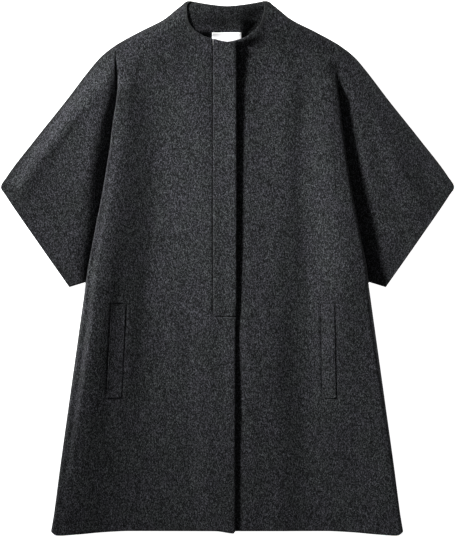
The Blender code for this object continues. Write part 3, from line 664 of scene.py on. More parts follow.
    def lap_edge(self, up: Array) -> Array:
        """The right front's free edge, which runs nearly straight down."""
        return -self.edge_past(up)

    def lap_corner(self, half: Array, nominal: float) -> Array:
        """The right front hangs a little lower by its free edge, with a rounded corner.

        Args:
            half: Distances of the row's columns from the centre line.
            nominal: The row's height where it is level.

        Returns:
            How much lower the columns hang.
        """
        from_edge = half - self.lap_edge(0.0)
        drop = self.lap_corner_drop * ease(1 - from_edge / self.lap_corner_reach)
        rise = self.corner_rise(from_edge, self.lap_corner_radius)
        return drop * self.near_hem(nominal) - rise * self.near_corner(nominal)

    # -- heights --
    def seam_tilt(self, up: Array) -> Array:
        """How steeply the cloth stands at the side seam, in radians."""
        return np.radians(self.tilt(up))

    def seam_half(self, up: Array) -> Array:
        """A sheet that stands up at its edge keeps its middle half a wall inside the outline."""
        return self.outline(up) - self.cloth / 2 * np.sin(self.seam_tilt(up))

    def layer(self, up: Array) -> Array:
        """How far the front's middle surface lies above the back's where they lie together."""
        tilt = self.seam_tilt(up)
        return self.cloth / np.cos(tilt) + self.seam_gap + self.standing_gap * np.sin(tilt)

    def front_seam_height(self, up: Array) -> Array:
        """The front at its seam, one wall and a seam gap above the back."""
        return self.side_rise(up) + self.layer(up)

    def rounded_rise(self, share: Array, tilt: Array) -> Array:
        """A rise that leaves the edge at a tilt and arrives level at the crown.

        Args:
            share: How far in from the edge, as a share of the way to the crown.
            tilt: How steeply it leaves the edge, in radians.

        Returns:
            The share of the rise, from 0 to 1.
        """
        share = clamp(share)
        steep = np.maximum(tilt, self.level_tilt)
        sine = (1 - share) * np.sin(steep)
        return (np.sqrt(1 - sine * sine) - np.cos(steep)) / (1 - np.cos(steep))

    def shoulder_height(self, half: Array, up: Array) -> Array:
        """A front before the pleat, the flutes and the lap.

        Args:
            half: Distances from the centre line.
            up: Heights above the hem.

        Returns:
            Heights of the front's middle surface.
        """
        reach = self.reach(up)
        from_seam = np.where(up > self.sleeve_tip_up, self.outline(up) - np.abs(half), reach)
        rise = self.rounded_rise(from_seam / reach, self.seam_tilt(up))
        return mix(self.front_seam_height(up), self.crown(up), rise)

    def collar_height(self, half: Array, up: Array) -> Array:
        """Like shoulder_height, measured from the inset edge so that the seam stands upright."""
        inset = self.outline(up) - self.seam_half(up)
        return self.shoulder_height(np.minimum(half + inset, self.outline(up)), up)

    def neck_stand(self, half: Array, up: Array, side: Side) -> Array:
        """On the wearer's left the collar stands up above a soft break that runs to its side.

        Args:
            half: Distances from the centre line.
            up: Heights above the hem.
            side: The front.

        Returns:
            How much higher the cloth is.
        """
        if side.over:
            return np.zeros_like(half)
        line = self.break_at.up + self.break_slope * (half - self.break_at.across)
        above = ease((up - line) / self.break_width + 0.5)
        grown = ease((half - self.break_from) / (self.break_full - self.break_from))
        faded = ease((self.break_end - half) / (self.break_end - self.break_fades))
        return self.break_rise * above * grown * faded

    def flute_height(
        self, flutes: Sequence[Flute], heights: Sequence[float], across: Array, up: Array
    ) -> Array:
        """What the soft flutes add at each place.

        Args:
            flutes: The flutes.
            heights: Where the flutes end, and where their rises are told, from the top down.
            across: Distances towards +X.
            up: Heights above the hem.

        Returns:
            How much higher the cloth is.
        """
        height = np.zeros(np.broadcast(across, up).shape)
        share = clamp((self.flute_top - up) / self.flute_top)
        for flute in flutes:
            centre = mix(flute.top_across, flute.foot_across, share)
            spread = mix(flute.spread_top, flute.spread_foot, share)
            rise = np.interp(np.negative(up), np.negative(heights), (0.0, *flute.rises))
            height += rise * np.exp(-(((across - centre) / spread) ** 2))
        return height

    def lap_height(self, half: Array, up: Array, side: Side) -> Array:
        """The right front rides over the left one, and its free edge curls off it.

        Args:
            half: Distances from the centre line.
            up: Heights above the hem.
            side: The front.

        Returns:
            How much higher the cloth is.
        """
        if not side.over:
            return np.zeros_like(half)
        rise = ease((self.lap_rise_from - half) / (self.lap_rise_from - self.lap_rise_to))
        from_edge = half - self.lap_edge(up)
        curl = clamp(1 - from_edge / self.lap_edge_curl) ** self.lap_edge_power
        roll = clamp(1 - from_edge / self.lap_edge_roll) ** 2
        lift = (self.edge_lift(up) + self.lap_edge_drop) * curl
        return self.lap_rise * rise + lift - self.lap_edge_drop * roll

    def body_height(
        self, half: Array, up: Array, side: Side, fold_start: tuple[float, float]
    ) -> Array:
        """A front between its free edge and the top of the fold at its side.

        Args:
            half: Distances from the centre line.
            up: Heights above the hem.
            side: The front.
            fold_start: The fold's start: its distance from the centre line and its height.

        Returns:
            Heights of the front's middle surface.
        """
        fold_half, fold_height = fold_start
        bearing = self.pleat_bearing * self.pleat_depth(up)
        inwards = fold_half - half
        share = 1 - clamp((inwards - bearing) / self.ramp(up))
        height = self.shoulder_height(half, up) + self.lap_height(half, up, side)
        flutes = self.flute_height(BODY_FLUTES, self.body_rises_up, side.sign * half, up)
        fade = self.side_fade if side is Side.RIGHT else self.side_fade_left
        height = height + flutes * ease(inwards / fade)
        if side is Side.LEFT:
            height = height + self.roll(inwards, up, side, self.body_roll_tail)
        height = height + (fold_height - self.shoulder_height(fold_half, up)) * ease(share)
        return height - self.welt_bed(half, up, side)

    def welt_bed(self, half: Array, up: Array, side: Side) -> Array:
        """How the front sinks under its pocket welt, differently at its seam and its opening.

        Args:
            half: Distances from the centre line.
            up: Heights above the hem.
            side: The front.

        Returns:
            How much lower the cloth is.
        """
        opening_top, seam_top, seam_foot, opening_foot = side.welt
        share = (opening_top.up - up) / (opening_top.up - opening_foot.up)
        opening = np.abs(mix(opening_top.across, opening_foot.across, share))
        seam = np.abs(mix(seam_top.across, seam_foot.across, share))
        beyond = np.maximum.reduce([
            (half - opening) / self.welt_ditch,
            (seam - half) / self.welt_ramp,
            (up - opening_top.up) / self.welt_ramp,
            (opening_foot.up - up) / self.welt_ditch,
        ])
        depths = self.welt_bed_right if side is Side.RIGHT else self.welt_bed_left
        return mix(*depths, clamp((half - seam) / (opening - seam))) * ease(1 - beyond)

    def sleeve_height(self, half: Array, up: Array, side: Side, outer: float) -> Array:
        """A sleeve, with the soft roll that it makes beside the body's edge.

        Args:
            half: Distances from the centre line.
            up: Heights above the hem.
            side: The front.
            outer: The distance of the row's end from the centre line.

        Returns:
            Heights of the sleeve's middle surface.
        """
        beyond = half - self.fold_half(up, side)
        height = self.shoulder_height(np.minimum(half, self.outline(up)), up)
        flutes = self.flute_height(SLEEVE_FLUTES, self.sleeve_rises_up, side.sign * half, up)
        added = flutes * ease(beyond / self.roll_fade)
        if side is Side.RIGHT:
            added = added + self.roll(beyond, up, side, self.sleeve_roll_tail)
        return height + added * ease((outer - half) / self.cuff_fade)

    def roll(self, distance: Array, up: Array, side: Side, tail: float) -> Array:
        """The soft roll beside the pleat.

        Args:
            distance: Distance from the body's edge.
            up: Height above the hem.
            side: The front that it is on.
            tail: How far past its top the roll fades away.

        Returns:
            How much higher the cloth is.
        """
        away = for_side(ROLL, "away", side)(up)
        near = clamp(1 - distance / away)
        rise = for_side(ROLL, "rise", side)(up) * (1 - near * near)
        return rise * (1 - ease((distance - away) / tail))

    def edge_tilt(self, up: float, side: Side) -> float:
        """How steeply the body's roll comes down to the pleat.

        Args:
            up: Height above the hem.
            side: The front.

        Returns:
            The angle in radians, which is 0 on the wearer's right, where the sleeve has the roll.
        """
        if side is Side.RIGHT:
            return 0.0
        rise = for_side(ROLL, "rise", side)(up)
        return math.atan(2 * rise / for_side(ROLL, "away", side)(up))

    def back_pulled(self, half: Array, nominal: float, side: Side) -> Array:
        """How far the back has come up to the front: not at all at the centre, quite at its seam.

        Args:
            half: Distances of the row's columns from the centre line.
            nominal: The row's height where it is level.
            side: The side of the coat.

        Returns:
            The share, from 0 to 1.
        """
        spread = ease((self.neck_side_up - nominal) / self.neck_spread)
        opening = self.neck_side(nominal, side) if side.over else self.outline(nominal)
        reach = mix(opening, self.outline(nominal), spread)
        return clamp(half / reach) ** mix(self.back_pull, self.back_pull_below, spread)

    def back_height(self, half: Array, nominal: float, side: Side) -> Array:
        """The back lies on the table; its collar stands off it and meets the front's sides.

        Args:
            half: Distances of the row's columns from the centre line.
            nominal: The row's height where it is level.
            side: The side of the coat.

        Returns:
            Heights of the back's middle surface.
        """
        flat = np.full_like(half, self.cloth / 2)
        run = self.back_lies_to - self.back_lies_from
        lifted = float(ease((nominal - self.back_lies_from) / run))
        if lifted <= 0:
            return flat
        under = self.collar_height(half, np.full_like(half, nominal)) - self.layer(nominal)
        pulled = self.back_pulled(half, nominal, side)
        height = mix(float(self.nape(nominal)), under, pulled)
        if not side.over:
            outwards = ease((self.outline(nominal) - half) / self.hollow_end)
            room = self.hollow_spread_to_up - self.hollow_spread_from_up
            spread = ease((nominal - self.hollow_spread_from_up) / room)
            first = mix(self.hollow_from_below, self.hollow_from, spread)
            last = mix(self.hollow_to_below, self.hollow_to, spread)
            sunk = ease((half - first) / (last - first))
            height = height - self.hollow(nominal) * sunk * outwards
        return mix(flat, np.maximum(flat, height), lifted)

    def collar_dip(self, half: Array, nominal: float) -> Array:
        """The back collar's top edge dips at the centre.

        Args:
            half: Distances of the row's columns from the centre line.
            nominal: The row's height where it is level.

        Returns:
            What to add to the columns' heights, at most 0.
        """
        share = clamp(np.abs(half) / self.collar_corner_half)
        dip = (self.collar_centre_top - self.collar_top) * (1 - share**self.collar_dip_power)
        return dip * ease(1 - (self.collar_top - nominal) / self.collar_dip_reach)


class Row(NamedTuple):
    """One row of a sheet: the number of its first column, and the places of all its columns."""

    first: int
    half: Array
    up: Array
    height: Array

    def point(self, column: int, sign: int, middle: float) -> tuple[float, float, float]:
        """The place of a column in the coat's own frame."""
        k = column - self.first
        return (sign * float(self.half[k]), float(self.up[k]) - middle, float(self.height[k]))

    def has(self, column: int) -> bool:
        """Whether the row reaches this column."""
        return self.first <= column < self.first + len(self.half)


class Sheet:
    """Makes a piece of cloth from its rows: the middle surface, its wall and its rounded edges."""

    def __init__(self, name: str, wall: float, middle: float) -> None:
        """Starts an empty sheet.

        Args:
            name: Name of the finished piece.
            wall: Thickness of the cloth.
            middle: Height on the coat that the frame's origin stands at.
        """
        self.name = name
        self.wall = wall
        self.middle = middle
        self.mesh = bmesh.new()

    def sew(self, rows: list[Row], sign: int, keep: Callable[[int, int], bool]) -> "Sheet":
        """Adds the cells between neighbouring rows, and a fan where the next row reaches further.

        Args:
            rows: The rows, from the collar down.
            sign: The sign of the side's x.
            keep: Tells which cells (row, column) belong to the piece.

        Returns:
            The sheet itself.
        """
        verts: dict[tuple[int, int], bmesh.types.BMVert] = {}

        def vert(row: int, column: int) -> bmesh.types.BMVert:
            key = (row, column)
            if key not in verts:
                verts[key] = self.mesh.verts.new(rows[row].point(column, sign, self.middle))
            return verts[key]

        def face(*corners: bmesh.types.BMVert) -> None:
            self.mesh.faces.new(corners if sign < 0 else corners[::-1])

        for row, (here, below) in enumerate(zip(rows, rows[1:])):
            last = here.first + len(here.half) - 1
            for column in range(here.first, last):
                if below.has(column) and below.has(column + 1) and keep(row, column):
                    face(
                        vert(row, column),
                        vert(row, column + 1),
                        vert(row + 1, column + 1),
                        vert(row + 1, column),
                    )
            for column in range(last, below.first + len(below.half) - 1):
                if keep(row, column):
                    face(vert(row, last), vert(row + 1, column + 1), vert(row + 1, column))
        return self

    def merged(self) -> "Sheet":
        """Sews together points that meet, such as those on the centre back."""
        bmesh.ops.remove_doubles(self.mesh, verts=self.mesh.verts[:], dist=10 * TINY)
        return self

    def raised(self, distance: float) -> "Sheet":
        """Moves the middle surface out along its own normals.

        Args:
            distance: How far.

        Returns:
            The sheet itself.
        """
        self.mesh.normal_update()
        for vert in self.mesh.verts:
            vert.co += vert.normal * distance
        return self

    def cut_to(self, corners: Sequence[tuple[float, float]], merge: float) -> "Sheet":
        """Keeps the part of the middle surface inside a straight-sided outline.

        Args:
            corners: Corners of the outline as (across, up), in order.
            merge: Corners closer than this are merged afterwards.

        Returns:
            The sheet itself.
        """
        points = [Vector((across, up - self.middle, 0)) for across, up in corners]
        centre = sum(points, Vector()) / len(points)
        for first, second in zip(points, points[1:] + points[:1]):
            along = second - first
            outwards = Vector((along.y, -along.x, 0)).normalized()
            if outwards.dot(centre - first) > 0:
                outwards = -outwards
            bmesh.ops.bisect_plane(
                self.mesh,
                geom=self.mesh.verts[:] + self.mesh.edges[:] + self.mesh.faces[:],
                dist=TINY,
                plane_co=first,
                plane_no=outwards,
                clear_outer=True,
            )
        bmesh.ops.remove_doubles(self.mesh, verts=self.mesh.verts[:], dist=merge)
        return self

    def copy(self, name: str, wall: float) -> "Sheet":
        """Another sheet from the same middle surface.

        Args:
            name: Name of its finished piece.
            wall: Thickness of its cloth.

        Returns:
            The new sheet.
        """
        other = Sheet(name, wall, self.middle)
        other.mesh.free()
        other.mesh = self.mesh.copy()
        return other

    def outwards(self) -> dict[int, Vector]:
        """For each vertex on the sheet's edge, how far to go out for each unit off the edge.

        Returns:
            A vector for each such vertex, by its index.
        """
        directions: dict[int, list[Vector]] = {}
        for edge in self.mesh.edges:
            if edge.is_boundary:
                loop = edge.link_loops[0]
                along = loop.link_loop_next.vert.co - loop.vert.co
                away = along.cross(loop.face.normal).normalized()
                for vert in edge.verts:
                    directions.setdefault(vert.index, []).append(away)
        found = {}
        for index, pair in directions.items():
            mean = sum(pair, Vector()).normalized()
            found[index] = mean / max(SHARPEST_MITRE, mean.dot(pair[0]))
        return found

    def room(self, vert: bmesh.types.BMVert) -> float:
        """How far an edge vertex may move in without crossing its neighbours."""
        inner = [edge for edge in vert.link_edges if not edge.is_boundary] or vert.link_edges
        return EDGE_ROOM * min(edge.calc_length() for edge in inner)

    def made(self, edge_radius: float, edge_segments: int = 4) -> bpy.types.Object:
        """Gives the sheet its wall, with rounded edges.

        Args:
            edge_radius: How far in from its edge the wall reaches its full thickness.
            edge_segments: How many faces round each edge.

        Returns:
            The finished object, at the origin.
        """
        mesh = self.mesh
        mesh.verts.index_update()
        mesh.verts.ensure_lookup_table()
        mesh.normal_update()
        middle = np.array([vert.co for vert in mesh.verts])
        lift = np.array([vert.normal for vert in mesh.verts]) * self.wall / 2
        out = np.zeros_like(middle)
        for index, direction in self.outwards().items():
            out[index] = direction * min(edge_radius, self.room(mesh.verts[index]))
        rim = {index: k for k, index in enumerate(np.flatnonzero(out.any(axis=1)).tolist())}
        on_rim = np.array(list(rim), int)
        layers = [middle - out + lift, middle - out - lift]
        for k in range(1, edge_segments):
            angle = math.pi * k / edge_segments
            edge = middle - out + out * math.sin(angle) + lift * math.cos(angle)
            layers.append(edge[on_rim])
        faces = self.wall_faces(rim, edge_segments)
        data = bpy.data.meshes.new(self.name)
        data.from_pydata(np.concatenate(layers).tolist(), [], faces)
        self.mark_highlight_edges(data, middle[on_rim])
        data.shade_smooth()
        mesh.free()
        piece = bpy.data.objects.new(self.name, data)
        bpy.context.scene.collection.objects.link(piece)
        return piece

    def wall_faces(self, rim: dict[int, int], edge_segments: int) -> list[list[int]]:
        """The faces on both sides of the wall, and those round its edges.

        Args:
            rim: The vertices on the sheet's edge, each with its number along it.
            edge_segments: How many faces round each edge.

        Returns:
            The corners of every face, as numbers of the layers' vertices.
        """
        count = len(self.mesh.verts)
        starts = [2 * count + k * len(rim) for k in range(edge_segments - 1)]
        faces = []
        for face in self.mesh.faces:
            corners = [vert.index for vert in face.verts]
            faces.append(corners)
            faces.append([count + index for index in reversed(corners)])
            for loop in face.loops:
                if loop.edge.is_boundary:
                    first, second = loop.vert.index, loop.link_loop_next.vert.index
                    here = [first, *(start + rim[first] for start in starts), count + first]
                    there = [second, *(start + rim[second] for start in starts), count + second]
                    for k in range(edge_segments):
                        faces.append([there[k], here[k], here[k + 1], there[k + 1]])
        return faces

    def mark_highlight_edges(self, data: bpy.types.Mesh, rim: Array) -> None:
        """Stores how near each vertex is to a top edge of the cloth, where a lighter strip is painted
        as its highlight.

        Args:
            data: The finished mesh.
            rim: Places of the vertices on the sheet's edge.
        """
        # painted highlight: only the top edges, which face the light (overarm, shoulder, collar), take
        # the strip
        on_arm = (np.abs(rim[:, 0]) > HIGHLIGHT_HALF) & (rim[:, 1] > HIGHLIGHT_FROM)
        lit_rim = rim[on_arm | (rim[:, 1] > HIGHLIGHT_TOP)]
        tree = KDTree(len(lit_rim))
        for k, place in enumerate(lit_rim):
            tree.insert(place, k)
        tree.balance()
        near = [tree.find(vert.co)[2] if len(lit_rim) else HIGHLIGHT_WIDTH for vert in data.vertices]
        near = clamp(1 - np.array(near) / HIGHLIGHT_WIDTH)
        data.attributes.new(HIGHLIGHT_ATTRIBUTE, "FLOAT", "POINT").data.foreach_set("value", near)


# ---- Finishes ----
class Nodes:
    """A short way to wire a material's nodes."""

    def __init__(self, name: str) -> None:
        """Starts a material with a Principled shader.

        Args:
            name: Name of the material.
        """
        self.material = bpy.data.materials.new(name)
        self.material.use_nodes = True
        self.tree = self.material.node_tree
        self.shader = self.tree.nodes["Principled BSDF"]

    def add(self, kind: str, **settings: object) -> bpy.types.Node:
        """A new node.

        Args:
            kind: Blender's name for the kind of node.
            settings: Values for the node's inputs and, under other names, for its attributes.

        Returns:
            The node.
        """
        node = self.tree.nodes.new(kind)
        for key, value in settings.items():
            if key in node.inputs:
                node.inputs[key].default_value = value
            else:
                setattr(node, key, value)
        return node

    def join(self, source: Socket, target: Socket) -> None:
        """Links an output to an input."""
        self.tree.links.new(source, target)

    def feed(self, source: object, target: Socket) -> None:
        """Gives an input another node's output or a plain value.

        Args:
            source: The output or the value.
            target: The input.
        """
        if isinstance(source, Socket):
            self.join(source, target)
        else:
            target.default_value = source

    def on_object(self, node: bpy.types.Node) -> bpy.types.Node:
        """Lays a node's pattern on the piece's own coordinates.

        Args:
            node: A node with a Vector input.

        Returns:
            The same node.
        """
        coordinates = self.add("ShaderNodeTexCoord")
        self.join(coordinates.outputs["Object"], node.inputs["Vector"])
        return node

    def math(self, operation: str, first: Socket, second: Socket | float) -> Socket:
        """A sum, a product or a power.

        Args:
            operation: Blender's name for it.
            first: The socket that it starts from.
            second: The other socket or number.

        Returns:
            The result's socket.
        """
        node = self.add("ShaderNodeMath", operation=operation)
        self.feed(first, node.inputs[0])
        self.feed(second, node.inputs[1])
        return node.outputs[0]

    def ranged(
        self, value: Socket, low: float, high: float, to_low: float, to_high: float
    ) -> Socket:
        """A value moved from one range to another, smoothly, and kept inside it.

        Args:
            value: The value's socket.
            low: The value that becomes to_low.
            high: The value that becomes to_high.
            to_low: Result for low and all below it.
            to_high: Result for high and all above it.

        Returns:
            The result's socket.
        """
        node = self.add("ShaderNodeMapRange", interpolation_type="SMOOTHSTEP")
        ends = {"Value": value, "From Min": low, "From Max": high, "To Min": to_low, "To Max": to_high}
        for key, end in ends.items():
            self.feed(end, node.inputs[key])
        return node.outputs["Result"]

    def mixed(self, share: Socket, first: Socket | Colour, second: Socket | Colour) -> Socket:
        """Two colours mixed.

        Args:
            share: How much of the second colour is in it.
            first: A socket, or a red, green and blue.
            second: The same.

        Returns:
            The mixed colour's socket.
        """
        node = self.add("ShaderNodeMix", data_type="RGBA")
        self.join(share, node.inputs["Factor"])
        for key, colour in (("A", first), ("B", second)):
            socket = next(s for s in node.inputs if s.name == key and s.type == "RGBA")
            self.feed((*colour, 1.0) if isinstance(colour, tuple) else colour, socket)
        return next(s for s in node.outputs if s.type == "RGBA")

    def raise_by(self, height: Socket, strength: float, distance: float) -> None:
        """Gives the surface a fine relief.

        Args:
            height: The relief, from 0 to 1.
            strength: How much of it shows.
            distance: How high it is in metres.
        """
        bump = self.add("ShaderNodeBump", Strength=strength, Distance=distance)
        self.join(height, bump.inputs["Height"])
        self.join(bump.outputs["Normal"], self.shader.inputs["Normal"])

    def finished(self, values: dict[str, object]) -> bpy.types.Material:
        """Sets the shader's plain inputs.

        Args:
            values: A value for each input's name.

        Returns:
            The material.
        """
        for key, value in values.items():
            self.shader.inputs[key].default_value = value
        return self.material


class Lie(NamedTuple):
    """How one layer of the wool's pattern lies.

    turn is its turn off the cloth's length in degrees, width and length are told against those of a
    plain fleck, and seed is where the pattern is taken from.
    """

    turn: float
    width: float
    length: float
    seed: float


@dataclass(frozen=True)
class WoolFinish:
    """Brushed charcoal melange: short flecks of light and dark fibre that lie down the cloth."""

    name: str = "brushed_wool"
    dark: Colour = (0.0010, 0.0010, 0.0012)
    light_cool: Colour = (0.1620, 0.1640, 0.1920)
    light_warm: Colour = (0.1550, 0.1690, 0.1770)
    # a plainer colour painted along the top edges as their highlight, where they face the light
    edge_highlight_colour: Colour = (0.0265, 0.0285, 0.0278)
    fleck_width: float = 0.0008
    fleck_length: float = 0.0020
    straight: Lie = Lie(4.0, 1.0, 1.0, 0.1)
    leaning: Lie = Lie(-16.0, 0.8, 0.8, 0.7)
    nap: Lie = Lie(9.0, 0.7, 0.7, 0.3)
    streaks: Lie = Lie(2.0, 1.6, 7.0, 0.9)
    straight_share: float = 0.80
    leaning_share: float = 0.12
    streaks_share: float = 0.16
    tone_power: float = 4.2
    waver: float = 0.3
    cloud_size: float = 0.045
    cloud_seed: float = 0.4
    cloud_range: tuple[float, float] = (0.35, 0.65)
    # how strongly the painted edge highlight shows, and over what nearness to the edge
    edge_highlight_share: float = 0.55
    edge_highlight_range: tuple[float, float] = (0.1, 0.8)
    roughness: float = 0.92
    specular: float = 0.12
    sheen: float = 0.07
    sheen_roughness: float = 0.55
    nap_height: float = 0.0009
    nap_strength: float = 1.0
    leaning_in_nap: float = 0.3

    def place(self, nodes: Nodes, turn: float, size: tuple[float, float], seed: float) -> Socket:
        """Coordinates that are drawn out along the fibres.

        Args:
            nodes: The material.
            turn: How far the fibres lie off the cloth's length, in degrees.
            size: Width and length of one fleck.
            seed: Moves the pattern to another place.

        Returns:
            The coordinates, one unit to a fleck.
        """
        place = nodes.on_object(nodes.add("ShaderNodeMapping", vector_type="TEXTURE"))
        place.inputs["Location"].default_value = (seed, 2 * seed, 3 * seed)
        place.inputs["Rotation"].default_value = (0.0, 0.0, math.radians(turn))
        place.inputs["Scale"].default_value = (size[0], size[1], size[0])
        return place.outputs["Vector"]

    def laid(self, nodes: Nodes, lie: Lie) -> Socket:
        """The coordinates of one layer of the pattern."""
        size = (self.fleck_width * lie.width, self.fleck_length * lie.length)
        return self.place(nodes, lie.turn, size, lie.seed)

    def flecks(self, nodes: Nodes, lie: Lie) -> Socket:
        """One even shade for each fleck.

        Args:
            nodes: The material.
            lie: How the flecks lie.

        Returns:
            The shade, from 0 to 1.
        """
        cells = nodes.add("ShaderNodeTexVoronoi", Scale=1.0)
        nodes.join(self.laid(nodes, lie), cells.inputs["Vector"])
        shade = nodes.add("ShaderNodeSeparateColor")
        nodes.join(cells.outputs["Color"], shade.inputs["Color"])
        return shade.outputs["Red"]

    def fibres(self, nodes: Nodes, lie: Lie) -> Socket:
        """Soft noise drawn out along the fibres.

        Args:
            nodes: The material.
            lie: How the fibres lie.

        Returns:
            The noise, around 0.5.
        """
        pattern = nodes.add("ShaderNodeTexNoise", Scale=1.0, Detail=1.0, Distortion=self.waver)
        nodes.join(self.laid(nodes, lie), pattern.inputs["Vector"])
        return pattern.outputs["Fac"]

    def clouds(self, nodes: Nodes) -> Socket:
        """Slow changes over the cloth.

        Args:
            nodes: The material.

        Returns:
            The changes, from 0 to 1.
        """
        pattern = nodes.add("ShaderNodeTexNoise", Scale=1.0, Detail=2.0)
        place = self.place(nodes, 0.0, (self.cloud_size, self.cloud_size), self.cloud_seed)
        nodes.join(place, pattern.inputs["Vector"])
        return nodes.ranged(pattern.outputs["Fac"], *self.cloud_range, 0.0, 1.0)

    def tone(self, nodes: Nodes, straight: Socket, leaning: Socket) -> Socket:
        """How much of the light fibre shows.

        Args:
            nodes: The material.
            straight: Shades of the flecks that lie down the cloth.
            leaning: Shades of the flecks that lean over them.

        Returns:
            The share of light fibre.
        """
        streaks = self.fibres(nodes, self.streaks)
        tone = nodes.math(
            "ADD",
            nodes.math("MULTIPLY", straight, self.straight_share),
            nodes.math("MULTIPLY", leaning, self.leaning_share),
        )
        tone = nodes.math("ADD", tone, nodes.math("MULTIPLY", streaks, self.streaks_share))
        return nodes.math("POWER", tone, self.tone_power)

    def material(self) -> bpy.types.Material:
        """The wool as a node material.

        Returns:
            The material.
        """
        nodes = Nodes(self.name)
        straight = self.flecks(nodes, self.straight)
        leaning = self.flecks(nodes, self.leaning)
        light = nodes.mixed(self.clouds(nodes), self.light_cool, self.light_warm)
        colour = nodes.mixed(self.tone(nodes, straight, leaning), self.dark, light)
        # painted highlight: the top edges of the cloth take the plainer edge colour
        near = nodes.add("ShaderNodeAttribute", attribute_name=HIGHLIGHT_ATTRIBUTE).outputs["Fac"]
        near = nodes.ranged(near, *self.edge_highlight_range, 0.0, self.edge_highlight_share)
        colour = nodes.mixed(near, colour, self.edge_highlight_colour)
        nodes.join(colour, nodes.shader.inputs["Base Color"])
        leaning_nap = nodes.math("MULTIPLY", leaning, self.leaning_in_nap)
        nap = nodes.math("ADD", self.fibres(nodes, self.nap), leaning_nap)
        nodes.raise_by(nap, self.nap_strength, self.nap_height)
        return nodes.finished({
            "Roughness": self.roughness,
            "Specular IOR Level": self.specular,
            "Sheen Weight": self.sheen,
            "Sheen Roughness": self.sheen_roughness,
        })


@dataclass(frozen=True)
class TapeFinish:
    """Plain white woven tape, which glows a little so that it stays white in the collar's shade:
    painted light.
    """

    name: str = "white_tape"
    white: Colour = (0.93, 0.93, 0.93)
    shade: Colour = (0.86, 0.86, 0.86)
    thread: float = 0.0006
    waver: float = 0.4
    relief: float = 0.0002
    relief_strength: float = 0.3
    roughness: float = 0.7
    # painted light: the tape glows though it is no lamp, so that it stays white where the collar
    # shades it
    glow: float = 0.40

    def material(self) -> bpy.types.Material:
        """The tape as a node material, with its weave as fine ribs both ways and a painted glow.

        Returns:
            The material.
        """
        nodes = Nodes(self.name)
        ribs = []
        for direction in ("X", "Y"):
            rib = nodes.add("ShaderNodeTexWave", bands_direction=direction, Distortion=self.waver)
            rib.inputs["Scale"].default_value = WAVE_LENGTH / self.thread
            ribs.append(nodes.on_object(rib).outputs["Fac"])
        weave = nodes.math("MULTIPLY", *ribs)
        nodes.join(nodes.mixed(weave, self.shade, self.white), nodes.shader.inputs["Base Color"])
        nodes.raise_by(weave, self.relief_strength, self.relief)
        return nodes.finished({
            "Roughness": self.roughness,
            # painted light: a white glow keeps the label bright in the collar's shade
            "Emission Color": (*self.white, 1.0),
            "Emission Strength": self.glow,
        })


@dataclass(frozen=True)
class TableFinish:
    """A white studio table that glows a little, so that it stays plain behind a dark coat."""

    name: str = "white_table"
    white: Colour = (0.90, 0.90, 0.90)
    roughness: tuple[float, float] = (0.75, 0.85)
    patches: float = 6.0
    patches_detail: float = 3.0
    patches_range: tuple[float, float] = (0.3, 0.7)
    glow: float = 1.15

    def material(self) -> bpy.types.Material:
        """The table as a node material, with a faint change of roughness.

        Returns:
            The material.
        """
        nodes = Nodes(self.name)
        pattern = nodes.add("ShaderNodeTexNoise", Scale=self.patches, Detail=self.patches_detail)
        patches = nodes.on_object(pattern).outputs["Fac"]
        rough = nodes.ranged(patches, *self.patches_range, *self.roughness)
        nodes.join(rough, nodes.shader.inputs["Roughness"])
        return nodes.finished({
            "Base Color": (*self.white, 1.0),
            "Emission Color": (*self.white, 1.0),
            "Emission Strength": self.glow,
        })


# ---- The pieces ----
def dressed(
    piece: bpy.types.Object, node: str, material: bpy.types.Material
) -> bpy.types.Object:
    """Gives a piece its finish and its place in the frame.

    Args:
        piece: The finished mesh.
        node: The CAD node that it stands for.
        material: Its finish.

    Returns:
        The piece.
    """
    piece.data.materials.append(material)
    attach(piece, "root")
    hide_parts(node)
    LOG.info("%s: %d faces", piece.name, len(piece.data.polygons))
    return piece


